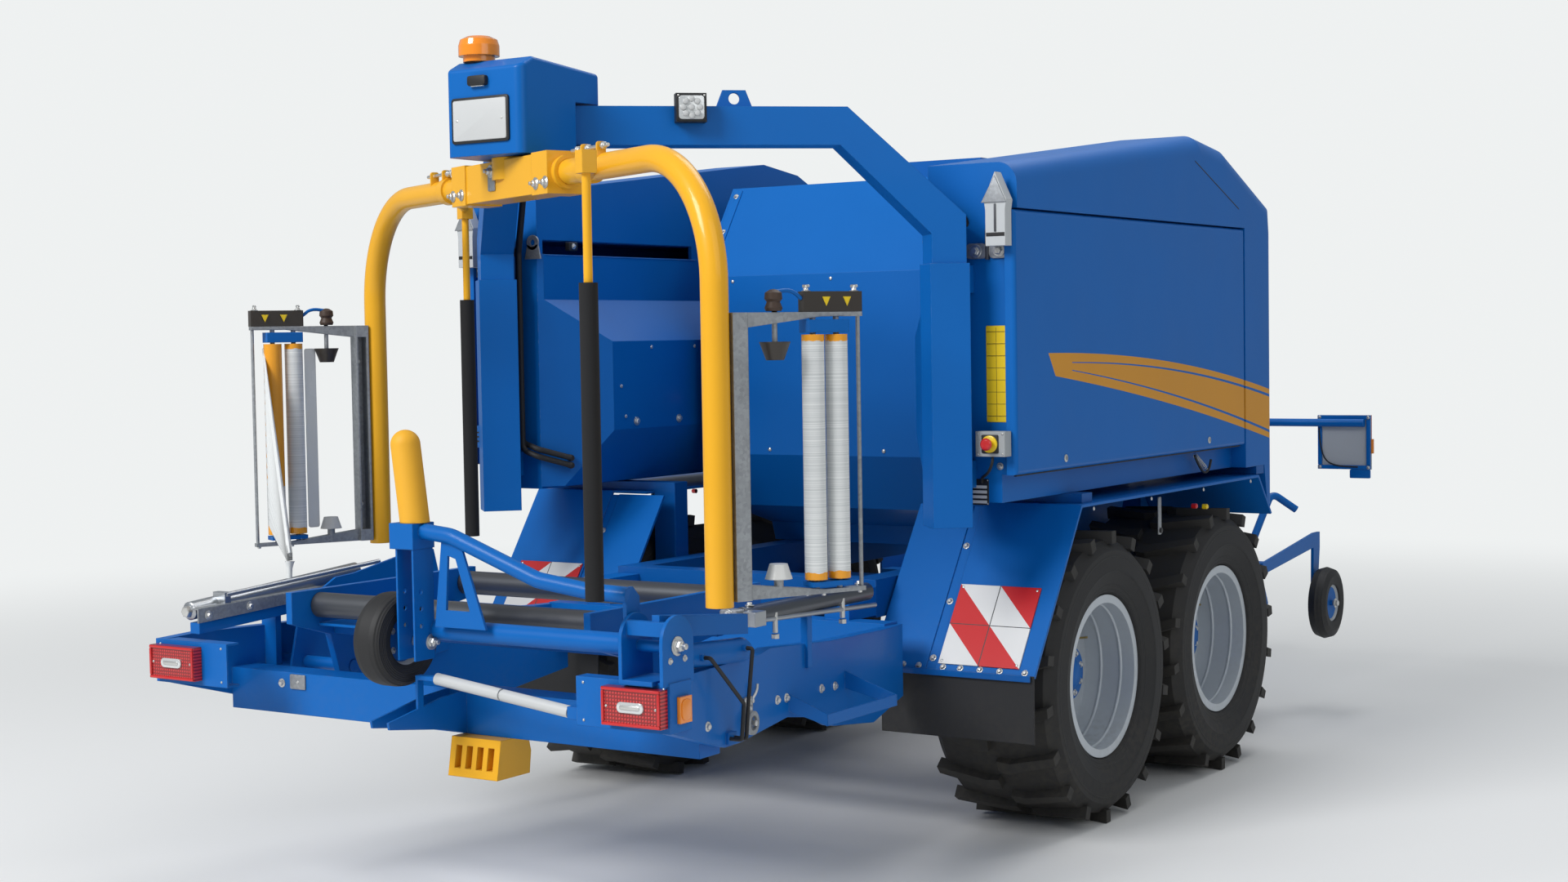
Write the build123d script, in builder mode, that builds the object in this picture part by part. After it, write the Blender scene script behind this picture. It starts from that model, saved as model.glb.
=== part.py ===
from build123d import *
import os
from math import atan2, cos, degrees, hypot, radians, sin, sqrt

os.makedirs("parts", exist_ok=True)

# A towed round baler with a bale wrapper behind it, on a tandem axle.
# Millimetres. +Y is the direction of travel, +X the right-hand side, +Z up.
# The ground is z = 0. Stations along the machine are measured from the tandem mid-point.

# Overall reach
REAR_REACH = 3740
FRONT_REACH = 4060
TANDEM_Y = (REAR_REACH - FRONT_REACH) / 2

# Clearances
SEAT = 0.4
RUN = 0.5
SPLIT = 8


def station(y):
    """Place along the machine for a distance ahead of the tandem mid-point."""
    return TANDEM_Y + y


# Wheels and tandem
AXLE_SPACING = 1316
WHEEL_X = 1125
TYRE_RADIUS = 630
TYRE_WIDTH = 600
LUG_HEIGHT = 30
LUG_COUNT = 18
LUG_REACH = 62
LUG_FACE = sqrt(TYRE_RADIUS**2 - LUG_REACH**2)
RIM_RADIUS = 352
RIM_WIDTH = 512
RIM_LIP = 12
RIM_BARREL = 330
RIM_SHEET = 14
DISC_THICKNESS = 16
HUB_RADIUS = 135
HUB_LENGTH = 210
HUB_OUTSIDE = 100
STUB_RADIUS = 45
STUB_REACH = 40
BOGIE_X = (690, 790)
AXLE_Z = TYRE_RADIUS
WHEEL_Y = {"front": station(AXLE_SPACING / 2), "rear": station(-AXLE_SPACING / 2)}

# Chassis
RAIL_X = (560, 680)
RAIL_Z = (930, 1090)
FRAME_REAR = station(-1400)
FRAME_FRONT = station(1500)
OUTRIGGER_Y = (station(-900), station(1110))
OUTRIGGER_WIDTH = 100
OUTRIGGER_TOP = 1440
OUTRIGGER_DEPTH = 40
UPRIGHT_X = 800
HOUSING_X = (1020, 1420)
FENDER_SIDE = 1450

# Towing eye and stand
EYE_RADIUS = 70
EYE_BORE = 25
EYE_THICKNESS = 32
EYE_Z = 610
DRAWBAR_HALF = 130
STAND_X = -205
STAND_Y = station(FRONT_REACH - 1010)
STAND_LEG = 30
STAND_WALL = 8
STAND_TRAVEL = 380
STAND_FOOT = 110
STAND_SLEEVE = (430, 1190)

# Bale chamber and tailgate
CHAMBER_Y = station(200)
CHAMBER_Z = 2010
CHAMBER_INSIDE = 800
CHAMBER_HALF = 620
CHAMBER_SIDE = 740
TAILGATE_HINGE = (station(450), 2790)
TAILGATE_PIN = 30
TAILGATE_FACE = station(-627)

# Wrapping rotor and gantry
ROTOR_Y = station(-2870)
ROTOR_REST = -25.2
ARM_RADIUS = 1480
ARM_TUBE = 46
ARM_Z = 2722
ARM_BEND = 430
ARM_FOOT = 1246
BEAM_HALF = 430
BEAM_SIZE = 145
POST = (1160, station(-1640))
POST_FOOT = 1350
POST_HALF = 70
SLEEVE_HALF = 80
SLEEVE_TOP = 2395
GANTRY_TOP = 3006
GANTRY_UNDER = 2857
GANTRY_WIDTH = 150
GANTRY_REACH = 1504
HOOD_HALF = 185
HOOD_Y = (station(-3052), station(-2572))
HOOD_Z = 2806
SAFETY_ARM = (1248, -333)
SAFETY_FOAM = 31
SAFETY_ROD = 15

# Film frames, along the tangent from each arm
FILM_POST = (46.4, 103)
FILM_CONE = 225
FILM_ROLLERS = (372, 464)
FILM_END = 560
FILM_BAR = 15
FILM_Z = (1262, 2196)
ROLLER_Z = (1310, 2122)
FILM_ROLLER_RADIUS = 38
FILM_PIN = 10

# Wrapping table
TABLE_PIVOT = (station(-3080), 860)
TABLE_ROLLERS = {"front": (station(-2420), 1120), "rear": (station(-3255), 1120)}
TABLE_ROLLER = 48
CHEEK_X = (700, 730)
CARRIER_REAR = station(-3612)
CARRIER_Z = (838, 1003)
CARRIER_X = (830, 1215)
BASE_WALL = 50
BASE_FRONT_X = 903
BASE_TURN = degrees(atan2(265, 1700))
CLAMP_X = 1050
CLAMP_RADIUS = 35

# Bale tipper
TIPPER_PIVOT = (station(-3540), 1110)
TIPPER_SHAFT = 36
TIPPER_FORK = ((75, 83), (150, 158))
TIPPER_FORK_Y = (station(-3655), station(-3555))
TIPPER_TYRE = 167
TIPPER_WHEEL = (-10, station(TIPPER_TYRE - REAR_REACH), 1070)
TIPPER_AXLE = 15

# Pickup
PICKUP_PIVOT = (station(1350), 1000)
REEL = (station(2050), 560)
REEL_RADIUS = 235
REEL_HALF = 960
PICKUP_SIDE = REEL_HALF + 40
GAUGE = (PICKUP_SIDE + 290, station(2450), 600)
GAUGE_ARM = (GAUGE[0] - 78, GAUGE[0] - 62)
GAUGE_RADIUS = 197
GAUGE_WIDTH = 100
GAUGE_AXLE = 15
BAND_RADIUS = 172

# Marker boards at the front
MARKER_TUBE = (station(2600), 1590)
MARKER_RADIUS = 22
MARKER_X = (1190, 1490)


def slab(plane, outline, depth, mode=Mode.ADD):
    """Extrude a closed outline of straight edges from a plane."""
    with BuildSketch(plane) as face:
        with BuildLine():
            Polyline(*outline, close=True)
        make_face()
    extrude(face.sketch, amount=depth, mode=mode)


def side_slab(x, outline, mode=Mode.ADD):
    """Side view outline of (y, z) points between two x values."""
    slab(Plane.YZ.offset(x[0]), outline, x[1] - x[0], mode)


def block(x, y, z, mode=Mode.ADD):
    """Box between a low and a high value on each axis."""
    with Locations(((x[0] + x[1]) / 2, (y[0] + y[1]) / 2, (z[0] + z[1]) / 2)):
        Box(x[1] - x[0], y[1] - y[0], z[1] - z[0], mode=mode)


def rod(start, end, radius, mode=Mode.ADD):
    """Round bar between two points."""
    along = Vector(*end) - Vector(*start)
    with BuildSketch(Plane(origin=start, z_dir=along)) as disc:
        Circle(radius)
    extrude(disc.sketch, amount=along.length, mode=mode)


def pipe(points, bend, radius):
    """Bent tube through a few points."""
    with BuildLine() as route:
        FilletPolyline(*points, radius=bend)
    with BuildSketch(Plane(origin=route.line @ 0, z_dir=route.line % 0)) as ring:
        Circle(radius)
    sweep(ring.sketch, path=route.line)


# Chassis frame: two rails, cross members, axle tube and the outriggers of the housings
with BuildPart() as main_frame:
    block(RAIL_X, (FRAME_REAR, FRAME_FRONT), RAIL_Z)
    for outrigger_y in OUTRIGGER_Y:
        span = (outrigger_y - OUTRIGGER_WIDTH / 2, outrigger_y + OUTRIGGER_WIDTH / 2)
        block((RAIL_X[1], UPRIGHT_X), span, (RAIL_Z[0], OUTRIGGER_TOP))
        block((UPRIGHT_X, HOUSING_X[1]), span, (OUTRIGGER_TOP - OUTRIGGER_DEPTH, OUTRIGGER_TOP))
    pin_y, pin_z = PICKUP_PIVOT
    rod((RAIL_X[1], pin_y, pin_z), (RAIL_X[1] + 60, pin_y, pin_z), 22)
    mirror(about=Plane.YZ)
    for member_y in (FRAME_REAR, FRAME_FRONT - 100):
        block((-RAIL_X[0], RAIL_X[0]), (member_y, member_y + 100), RAIL_Z)
    block((-BOGIE_X[0], BOGIE_X[0]), (station(-90), station(90)), (RAIL_Z[0] - 170, RAIL_Z[0]))

# Tandem: a rocking beam on each side with the two stub axles
with BuildPart() as bogie_beams:
    half = AXLE_SPACING / 2 + 100
    side_slab(
        (BOGIE_X[0] + SEAT, BOGIE_X[1]),
        [
            (station(-half), AXLE_Z - 70),
            (station(-half), AXLE_Z + 70),
            (station(-200), AXLE_Z + 270),
            (station(200), AXLE_Z + 270),
            (station(half), AXLE_Z + 70),
            (station(half), AXLE_Z - 70),
            (station(200), AXLE_Z + 90),
            (station(-200), AXLE_Z + 90),
        ],
    )
    for wheel_y in WHEEL_Y.values():
        rod((BOGIE_X[1], wheel_y, AXLE_Z), (WHEEL_X + STUB_REACH, wheel_y, AXLE_Z), STUB_RADIUS)
    mirror(about=Plane.YZ)

# One wheel about the X axis, outer side towards +X
with BuildPart() as rim_form:
    edge = RIM_WIDTH / 2
    with BuildSketch(Plane.XY):
        with BuildLine():
            Polyline(
                (-edge, RIM_RADIUS),
                (-edge + RIM_LIP, RIM_RADIUS),
                (-edge + RIM_LIP, RIM_BARREL),
                (edge - RIM_LIP, RIM_BARREL),
                (edge - RIM_LIP, RIM_RADIUS),
                (edge, RIM_RADIUS),
                (edge, RIM_BARREL - RIM_SHEET),
                (DISC_THICKNESS, RIM_BARREL - RIM_SHEET),
                (DISC_THICKNESS, HUB_RADIUS),
                (HUB_OUTSIDE, HUB_RADIUS - 20),
                (HUB_OUTSIDE, 0),
                (HUB_OUTSIDE - 30, 0),
                (HUB_OUTSIDE - 30, STUB_RADIUS + RUN),
                (HUB_OUTSIDE - HUB_LENGTH, STUB_RADIUS + RUN),
                (HUB_OUTSIDE - HUB_LENGTH, HUB_RADIUS - 30),
                (0, HUB_RADIUS),
                (0, RIM_BARREL - RIM_SHEET),
                (-edge, RIM_BARREL - RIM_SHEET),
                close=True,
            )
        make_face()
    revolve(axis=Axis.X)

# Tyre body with two staggered rows of lugs
with BuildPart() as tyre_form:
    half = TYRE_WIDTH / 2
    tread = LUG_FACE - LUG_HEIGHT
    with BuildSketch(Plane.XY):
        with BuildLine():
            Polyline(
                (-edge + RIM_LIP + SEAT, RIM_BARREL + SEAT),
                (-edge + RIM_LIP + SEAT, RIM_RADIUS + SEAT),
                (-edge - 10, RIM_RADIUS + 12),
                (-half, 460),
                (-half + 6, 545),
                (-half + 50, tread - 10),
                (0, tread),
                (half - 50, tread - 10),
                (half - 6, 545),
                (half, 460),
                (edge + 10, RIM_RADIUS + 12),
                (edge - RIM_LIP - SEAT, RIM_RADIUS + SEAT),
                (edge - RIM_LIP - SEAT, RIM_BARREL + SEAT),
                close=True,
            )
        make_face()
    revolve(axis=Axis.X)
    # lug: (side, angle offset in pitches)
    for side, offset in ((1, 0), (-1, 0.5)):
        for step in range(LUG_COUNT):
            turn = (step + offset) * 360 / LUG_COUNT
            spot = Plane.XY.rotated((turn, 0, 0)).offset(tread - 24)
            with BuildSketch(spot):
                with BuildLine():
                    Polyline(
                        (side * 10, -44),
                        (side * 60, -52),
                        (side * (half - 12), 20),
                        (side * (half - 12), LUG_REACH),
                        (side * 70, 6),
                        (side * 10, 14),
                        close=True,
                    )
                make_face()
            extrude(amount=LUG_HEIGHT + 24)

# Drawbar with its towing eye and the cross tube of the marker boards
nose_y = station(FRONT_REACH - 240)
with BuildPart() as drawbar:
    side_slab(
        (-DRAWBAR_HALF, DRAWBAR_HALF),
        [
            (FRAME_FRONT + SEAT, 960),
            (FRAME_FRONT + SEAT, 1180),
            (FRAME_FRONT + 1100, 1120),
            (nose_y, EYE_Z + 75),
            (nose_y, EYE_Z - 60),
            (FRAME_FRONT + 1200, 930),
        ],
    )
    eye_y = station(FRONT_REACH - EYE_RADIUS)
    block((-35, 35), (nose_y - 20, eye_y - 40), (EYE_Z - 30, EYE_Z + 30))
    with Locations((0, eye_y, EYE_Z)):
        Cylinder(EYE_RADIUS, EYE_THICKNESS)
        Cylinder(EYE_BORE, 3 * EYE_THICKNESS, mode=Mode.SUBTRACT)
    tube_y, tube_z = MARKER_TUBE
    for leg_x in ((-128, -98), (98, 128)):
        block(leg_x, (tube_y - 30, tube_y + 30), (1000, tube_z))
    rod((-MARKER_X[1] + 30, tube_y, tube_z), (MARKER_X[1] - 30, tube_y, tube_z), MARKER_RADIUS)

# Drive gearbox with its power take-off stub and the cross shaft to the right-hand drive
GEARBOX_Z = 1300
with BuildPart() as gearbox:
    block((-150, 150), (station(1130), station(1430)), (1110, 1400))
    block((-120, 120), (station(1300), FRAME_FRONT), (RAIL_Z[1] + SEAT, 1112))
    rod((0, station(1430), GEARBOX_Z), (0, station(1520), GEARBOX_Z), 90)
    rod((0, station(1450), GEARBOX_Z), (0, station(1521), GEARBOX_Z), 70, Mode.SUBTRACT)
    rod((0, station(1430), GEARBOX_Z), (0, station(1560), GEARBOX_Z), 17.5)
    rod((150, station(1262), GEARBOX_Z), (HOUSING_X[0] - SEAT, station(1262), GEARBOX_Z), 45)

# Parking stand: sleeve on the drawbar and the leg that slides in it
with BuildPart() as stand_sleeve:
    outer = STAND_LEG + RUN + STAND_WALL
    with BuildSketch(Plane.XY.offset(STAND_SLEEVE[0])):
        with Locations((STAND_X, STAND_Y)):
            Circle(outer)
    extrude(amount=STAND_SLEEVE[1] - STAND_SLEEVE[0])
    block((STAND_X, -DRAWBAR_HALF - SEAT), (STAND_Y - 40, STAND_Y + 40), (830, 960))
    rod((STAND_X, STAND_Y, STAND_SLEEVE[1] - 60), (STAND_X - 130, STAND_Y, STAND_SLEEVE[1] - 60), 10)
    rod((STAND_X - 124, STAND_Y, STAND_SLEEVE[1] - 60), (STAND_X - 124, STAND_Y, STAND_SLEEVE[1] + 80), 8)
    with BuildSketch(Plane.XY.offset(STAND_SLEEVE[0])):
        with Locations((STAND_X, STAND_Y)):
            Circle(STAND_LEG + RUN)
    extrude(amount=STAND_SLEEVE[1] - STAND_SLEEVE[0] - 10, mode=Mode.SUBTRACT)

with BuildPart() as stand_leg:
    with BuildSketch(Plane.XY):
        with Locations((STAND_X, STAND_Y)):
            Circle(STAND_FOOT)
    extrude(amount=16)
    rod(
        (STAND_X, STAND_Y, 0),
        (STAND_X, STAND_Y, STAND_SLEEVE[1] - STAND_TRAVEL - 20),
        STAND_LEG,
    )

# Bale chamber: fixed front half and the tailgate, split by a plane through the hinge
hinge_y, hinge_z = TAILGATE_HINGE
SPLIT_FOOT = (station(-40), 1185)

with BuildPart() as chamber_front:
    side_slab(
        (-CHAMBER_SIDE, CHAMBER_SIDE),
        [
            (hinge_y + SPLIT, hinge_z + 60),
            (hinge_y + SPLIT, hinge_z),
            (SPLIT_FOOT[0] + SPLIT, SPLIT_FOOT[1]),
            (station(0), RAIL_Z[1] + SEAT),
            (station(900), RAIL_Z[1] + SEAT),
            (station(1050), 1400),
            (station(1050), 2560),
            (station(760), 2860),
        ],
    )
    block((-420, 200), (station(500), station(740)), (2840, 3000))
    with BuildSketch(Plane.YZ.offset(-CHAMBER_HALF)):
        with Locations((CHAMBER_Y, CHAMBER_Z)):
            Circle(CHAMBER_INSIDE)
    extrude(amount=2 * CHAMBER_HALF, mode=Mode.SUBTRACT)
    block(
        (-CHAMBER_HALF, CHAMBER_HALF),
        (station(300), station(1100)),
        (1080, 1380),
        mode=Mode.SUBTRACT,
    )
    rod((-CHAMBER_SIDE, hinge_y, hinge_z), (CHAMBER_SIDE, hinge_y, hinge_z), TAILGATE_PIN + 40, Mode.SUBTRACT)
    for side in (-1, 1):
        rod(
            (side * (CHAMBER_SIDE - 20), hinge_y, hinge_z),
            (side * (CHAMBER_SIDE - 100), hinge_y, hinge_z),
            TAILGATE_PIN,
        )
        block(
            sorted((side * (CHAMBER_SIDE - 20), side * (CHAMBER_SIDE - 45))),
            (hinge_y - TAILGATE_PIN, hinge_y + 120),
            (hinge_z - TAILGATE_PIN, hinge_z + TAILGATE_PIN),
        )

with BuildPart() as tailgate:
    side_slab(
        (-CHAMBER_SIDE, CHAMBER_SIDE),
        [
            (hinge_y, hinge_z),
            (SPLIT_FOOT[0], SPLIT_FOOT[1]),
            (station(-430), 1300),
            (TAILGATE_FACE, 1560),
            (TAILGATE_FACE, 2410),
            (station(-330), 2850),
            (station(300), 2850),
        ],
    )
    with BuildSketch(Plane.YZ.offset(-CHAMBER_HALF)):
        with Locations((CHAMBER_Y, CHAMBER_Z)):
            Circle(CHAMBER_INSIDE)
    extrude(amount=2 * CHAMBER_HALF, mode=Mode.SUBTRACT)
    for side in (-1, 1):
        block(
            sorted((side * (CHAMBER_SIDE - 110), side * (CHAMBER_SIDE + 1))),
            (hinge_y - 90, hinge_y + 10),
            (hinge_z - 90, hinge_z + 90),
            mode=Mode.SUBTRACT,
        )
        block(
            sorted((side * (CHAMBER_SIDE - 50), side * (CHAMBER_SIDE - 90))),
            (hinge_y - 200, hinge_y),
            (hinge_z - 50, hinge_z + 50),
        )
        rod(
            (side * (CHAMBER_SIDE - 50), hinge_y, hinge_z),
            (side * (CHAMBER_SIDE - 90), hinge_y, hinge_z),
            50,
        )
        rod(
            (side * (CHAMBER_SIDE - 50), hinge_y, hinge_z),
            (side * (CHAMBER_SIDE - 90), hinge_y, hinge_z),
            TAILGATE_PIN + RUN,
            Mode.SUBTRACT,
        )

# Side housings: hood, front column, drive space behind the cover and the inner casing
HOUSING_REAR = station(-1515)
HOUSING_OUTLINE = [
    (HOUSING_REAR, OUTRIGGER_TOP + SEAT),
    (HOUSING_REAR, 2795),
    (station(370), 3025),
    (station(700), 2985),
    (station(1300), 2745),
    (station(1320), 2600),
    (station(1320), 1240),
    (station(1210), 1240),
    (station(1170), OUTRIGGER_TOP + SEAT),
]
HOOD_ROUND = 90
COVER_Y = (station(-1545), station(915))
COVER_Z = (1553, 2605)
COVER_THICKNESS = 45
COVER_ROUND = 18
COVER_GAP = 6
RECESS_X = HOUSING_X[1] - COVER_THICKNESS
SKIN = 20
SLIT_Z = (2512, 2578)
CASING_X = 800
CASING_Y = (station(-1520), station(-1250), station(-250))

with BuildPart() as housing_right:
    side_slab(HOUSING_X, HOUSING_OUTLINE)
    outer_face = housing_right.faces().sort_by(Axis.X)[-1]
    rounded = [
        edge
        for edge in outer_face.edges()
        if edge.center().Z > OUTRIGGER_TOP + 200 and edge.center().Y > HOUSING_REAR + 1
    ]
    fillet(rounded, HOOD_ROUND)
    recess_y = (HOUSING_REAR - 1, COVER_Y[1] + COVER_GAP)
    block((RECESS_X, HOUSING_X[1] + 1), recess_y, (COVER_Z[0] - 1, COVER_Z[1] + COVER_GAP), mode=Mode.SUBTRACT)
    block((RECESS_X - 35, HOUSING_X[1] + 1), recess_y, (OUTRIGGER_TOP, COVER_Z[0]), mode=Mode.SUBTRACT)
    block(
        (HOUSING_X[0] + SKIN, RECESS_X + 1),
        (HOUSING_REAR + 25, COVER_Y[1] - 30),
        (COVER_Z[0] + 30, COVER_Z[1] - 30),
        mode=Mode.SUBTRACT,
    )
    block((HOUSING_X[0] - 1, HOUSING_X[0] + SKIN + 1), (HOUSING_REAR + 40, station(-300)), SLIT_Z, mode=Mode.SUBTRACT)
    # casing section on XZ: (x, z), swept forward and cut off at a slant behind
    with BuildSketch(Plane.XZ.offset(-CASING_Y[2])) as section:
        with BuildLine():
            Polyline(
                (HOUSING_X[0], SLIT_Z[0]),
                (HOUSING_X[0] - SKIN, SLIT_Z[0]),
                (HOUSING_X[0] - SKIN, 2305),
                (CASING_X, 2110),
                (CASING_X, 1700),
                (950, 1450),
                (HOUSING_X[0], 1450),
                close=True,
            )
        make_face()
    extrude(section.sketch, amount=CASING_Y[2] - CASING_Y[0])
    slab(
        Plane.XY.offset(OUTRIGGER_TOP),
        [
            (CASING_X - 5, CASING_Y[0] - 1),
            (CASING_X - 5, CASING_Y[1]),
            (CASING_X, CASING_Y[1]),
            (HOUSING_X[0], CASING_Y[0]),
            (HOUSING_X[0], CASING_Y[0] - 1),
        ],
        SLIT_Z[0] - OUTRIGGER_TOP + 1,
        Mode.SUBTRACT,
    )

with BuildPart() as housing_left:
    mirror(housing_right.part, about=Plane.YZ)

with BuildPart() as cover_right:
    block((RECESS_X + SEAT, HOUSING_X[1]), COVER_Y, COVER_Z)
    fillet(cover_right.faces().sort_by(Axis.X)[-1].edges(), COVER_ROUND)

with BuildPart() as cover_left:
    mirror(cover_right.part, about=Plane.YZ)

# Grey caps over the cover hinges and the stop boxes, both on the housings' rear faces
with BuildPart() as rear_fittings:
    cap_x = (1325, 1412)
    cap_rear = COVER_Y[0] - 60
    clear_rear = COVER_Y[0] - COVER_GAP
    block((cap_x[0], RECESS_X - 3), (cap_rear, HOUSING_REAR - SEAT), (2460, 2640))
    with BuildSketch(Plane.XZ.offset(-clear_rear)) as cap:
        with BuildLine():
            Polyline(
                (cap_x[0], 2460),
                (cap_x[1], 2460),
                (cap_x[1], 2600),
                (cap_x[1] + 6, 2640),
                (1368, 2750),
                (cap_x[0] - 6, 2640),
                (cap_x[0], 2600),
                close=True,
            )
        make_face()
    extrude(cap.sketch, amount=clear_rear - cap_rear)
    block((1270, 1400), (cap_rear, clear_rear), (1630, 1730))
    block((1280, RECESS_X - 3), (clear_rear - 1, HOUSING_REAR - SEAT), (1650, 1710))
    mirror(about=Plane.YZ)

# Fenders over the tandem: flat top, sloping rear in two panels, and the warning boards on them
FENDER_TOP = OUTRIGGER_TOP - OUTRIGGER_DEPTH - SEAT
SLOPE_FOOT = (station(-1470), 740)
SLOPE_HEAD = (station(-1015), FENDER_TOP)
SLOPE_LENGTH = hypot(SLOPE_HEAD[0] - SLOPE_FOOT[0], SLOPE_HEAD[1] - SLOPE_FOOT[1])
SHEET = 12


def on_slope(along, off):
    """Point (y, z) at a distance up the rear slope and off its outer face."""
    run = (SLOPE_HEAD[0] - SLOPE_FOOT[0]) / SLOPE_LENGTH
    rise = (SLOPE_HEAD[1] - SLOPE_FOOT[1]) / SLOPE_LENGTH
    return (SLOPE_FOOT[0] + along * run - off * rise, SLOPE_FOOT[1] + along * rise + off * run)


def slope_panel(x, length, off, thickness):
    """Panel along the rear slope between two x values."""
    side_slab(x, [on_slope(length[0], off), on_slope(length[1], off), on_slope(length[1], off - thickness), on_slope(length[0], off - thickness)])


with BuildPart() as fenders:
    side_slab(
        (UPRIGHT_X + SEAT, FENDER_SIDE),
        [
            SLOPE_HEAD,
            (station(1015), FENDER_TOP),
            (station(1190), 1200),
            (station(1178), 1194),
            (station(1008), FENDER_TOP - SHEET),
            (SLOPE_HEAD[0] + 7, FENDER_TOP - SHEET),
        ],
    )
    slope_panel((995, FENDER_SIDE), (0, SLOPE_LENGTH), 0, SHEET)
    slope_panel((RAIL_X[1] + 10, 950), (0, SLOPE_LENGTH - 18), 0, SHEET)
    slope_panel((945, 1000), (0, SLOPE_LENGTH - 18), -SHEET / 2, SHEET / 2)
    mirror(about=Plane.YZ)

with BuildPart() as mudflaps:
    block((745, FENDER_SIDE), (SLOPE_FOOT[0] - 8, SLOPE_FOOT[0] - SEAT), (470, 745))
    mirror(about=Plane.YZ)

with BuildPart() as marker_boards:
    slope_panel((1005, 1375), (30, 400), 6 + SEAT, 6)
    board_y = MARKER_TUBE[0] + MARKER_RADIUS + SEAT
    block(MARKER_X, (board_y, board_y + 16), (1330, 1632))
    mirror(about=Plane.YZ)

# Gantry: a leaning post and beam on each side, meeting over the wrapping table
GANTRY_TURN = 43.4


def gantry_plane(side):
    """Upright plane through a post, running inwards to the middle of the machine."""
    inwards = Vector(-side * cos(radians(GANTRY_TURN)), -sin(radians(GANTRY_TURN)), 0)
    return Plane(origin=(side * POST[0], POST[1], 0), x_dir=inwards, z_dir=inwards.cross(Vector(0, 0, 1)))


EYE_PLATE = (763, 907)

with BuildPart() as gantry:
    for side in (1, -1):
        upright = gantry_plane(side)
        slab(
            upright.offset(-GANTRY_WIDTH / 2),
            [
                (-POST_HALF, SLEEVE_TOP - 50),
                (-POST_HALF, 2585),
                (400, GANTRY_TOP),
                (GANTRY_REACH, GANTRY_TOP),
                (GANTRY_REACH, GANTRY_UNDER),
                (430, GANTRY_UNDER),
                (POST_HALF, 2510),
                (POST_HALF, SLEEVE_TOP - 50),
            ],
            GANTRY_WIDTH,
        )
        slab(
            upright.offset(-GANTRY_WIDTH / 2 - 10),
            [(-SLEEVE_HALF, POST_FOOT), (-SLEEVE_HALF, SLEEVE_TOP), (SLEEVE_HALF, SLEEVE_TOP), (SLEEVE_HALF, POST_FOOT)],
            GANTRY_WIDTH + 20,
        )
        slab(
            upright.offset(-8),
            [(EYE_PLATE[0], GANTRY_TOP), (790, GANTRY_TOP + 69), (880, GANTRY_TOP + 69), (EYE_PLATE[1], GANTRY_TOP)],
            16,
        )
        rod(
            upright.from_local_coords((835, GANTRY_TOP + 36, -9)),
            upright.from_local_coords((835, GANTRY_TOP + 36, 9)),
            22,
            Mode.SUBTRACT,
        )
        for bracket_z in (1500, 2280):
            block(
                sorted((side * 1125, side * 1225)),
                (POST[1] + 20, HOUSING_REAR - SEAT),
                (bracket_z, bracket_z + 110),
            )

with BuildPart() as work_lamps:
    for side in (1, -1):
        upright = gantry_plane(side)
        near = -side * (GANTRY_WIDTH / 2 + SEAT)
        slab(
            upright.offset(near),
            [(961, 2940), (961, 3050), (1079, 3050), (1079, 2940)],
            -side * 55,
        )

with BuildPart() as gantry_hood:
    side_slab(
        (-HOOD_HALF, HOOD_HALF),
        [
            (HOOD_Y[0], HOOD_Z),
            (HOOD_Y[0], 3126),
            (HOOD_Y[0] + 74, 3164),
            (HOOD_Y[1], 3131),
            (HOOD_Y[1], HOOD_Z),
        ],
    )
    fillet(gantry_hood.edges().filter_by(Axis.Z), 35)
    fillet([edge for edge in gantry_hood.edges() if edge.center().Z > 3120], 16)
    for side in (-1, 1):
        block(
            sorted((side * 60, side * (HOOD_HALF + 1))),
            (station(-2735), HOOD_Y[1] + 1),
            (GANTRY_UNDER - SPLIT, GANTRY_TOP + SPLIT),
            mode=Mode.SUBTRACT,
        )
    add(gantry.part, mode=Mode.SUBTRACT)

BEACON = (-100, station(-2950), 3164 + SEAT)
with BuildPart() as beacon:
    x, y, z = BEACON
    rod((x, y, z), (x, y, z + 22), 60)
    rod((x, y, z + 22), (x, y, z + 62), 77)
    with BuildSketch(Plane(origin=(x, y, z + 62), x_dir=(1, 0, 0), z_dir=(0, -1, 0))) as dome:
        with BuildLine():
            Polyline((0, 0), (77, 0), (70, 22), (45, 34), (0, 38), close=True)
        make_face()
    revolve(dome.sketch, axis=Axis((x, y, 0), (0, 0, 1)))

# Wrapping rotor: beam, bent arms, safety arms and the film frames
rotor_place = Location((0, ROTOR_Y, 0), (0, 0, ROTOR_REST))
BEAM_SLEEVE = 155
COLLAR = 62


def square_bar(x, size):
    """Square bar of the rotor along its arm direction."""
    block(x, (-size / 2, size / 2), (ARM_Z - size / 2, ARM_Z + size / 2))


with BuildPart() as rotor_beam_form:
    square_bar((-BEAM_HALF, BEAM_HALF), BEAM_SIZE)
    rod((0, 0, ARM_Z), (0, 0, HOOD_Z - RUN), 90)
    for side in (1, -1):
        square_bar(sorted((side * (BEAM_HALF - 130), side * BEAM_HALF)), BEAM_SLEEVE)
        rod((side * BEAM_HALF, 0, ARM_Z), (side * (BEAM_HALF + 26), 0, ARM_Z), COLLAR)
        rod((side * BEAM_HALF, 0, ARM_Z), (side * (BEAM_HALF + 27), 0, ARM_Z), ARM_TUBE + SEAT, Mode.SUBTRACT)

with BuildPart() as rotor_beam:
    add(rotor_beam_form.part.moved(rotor_place))

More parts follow.
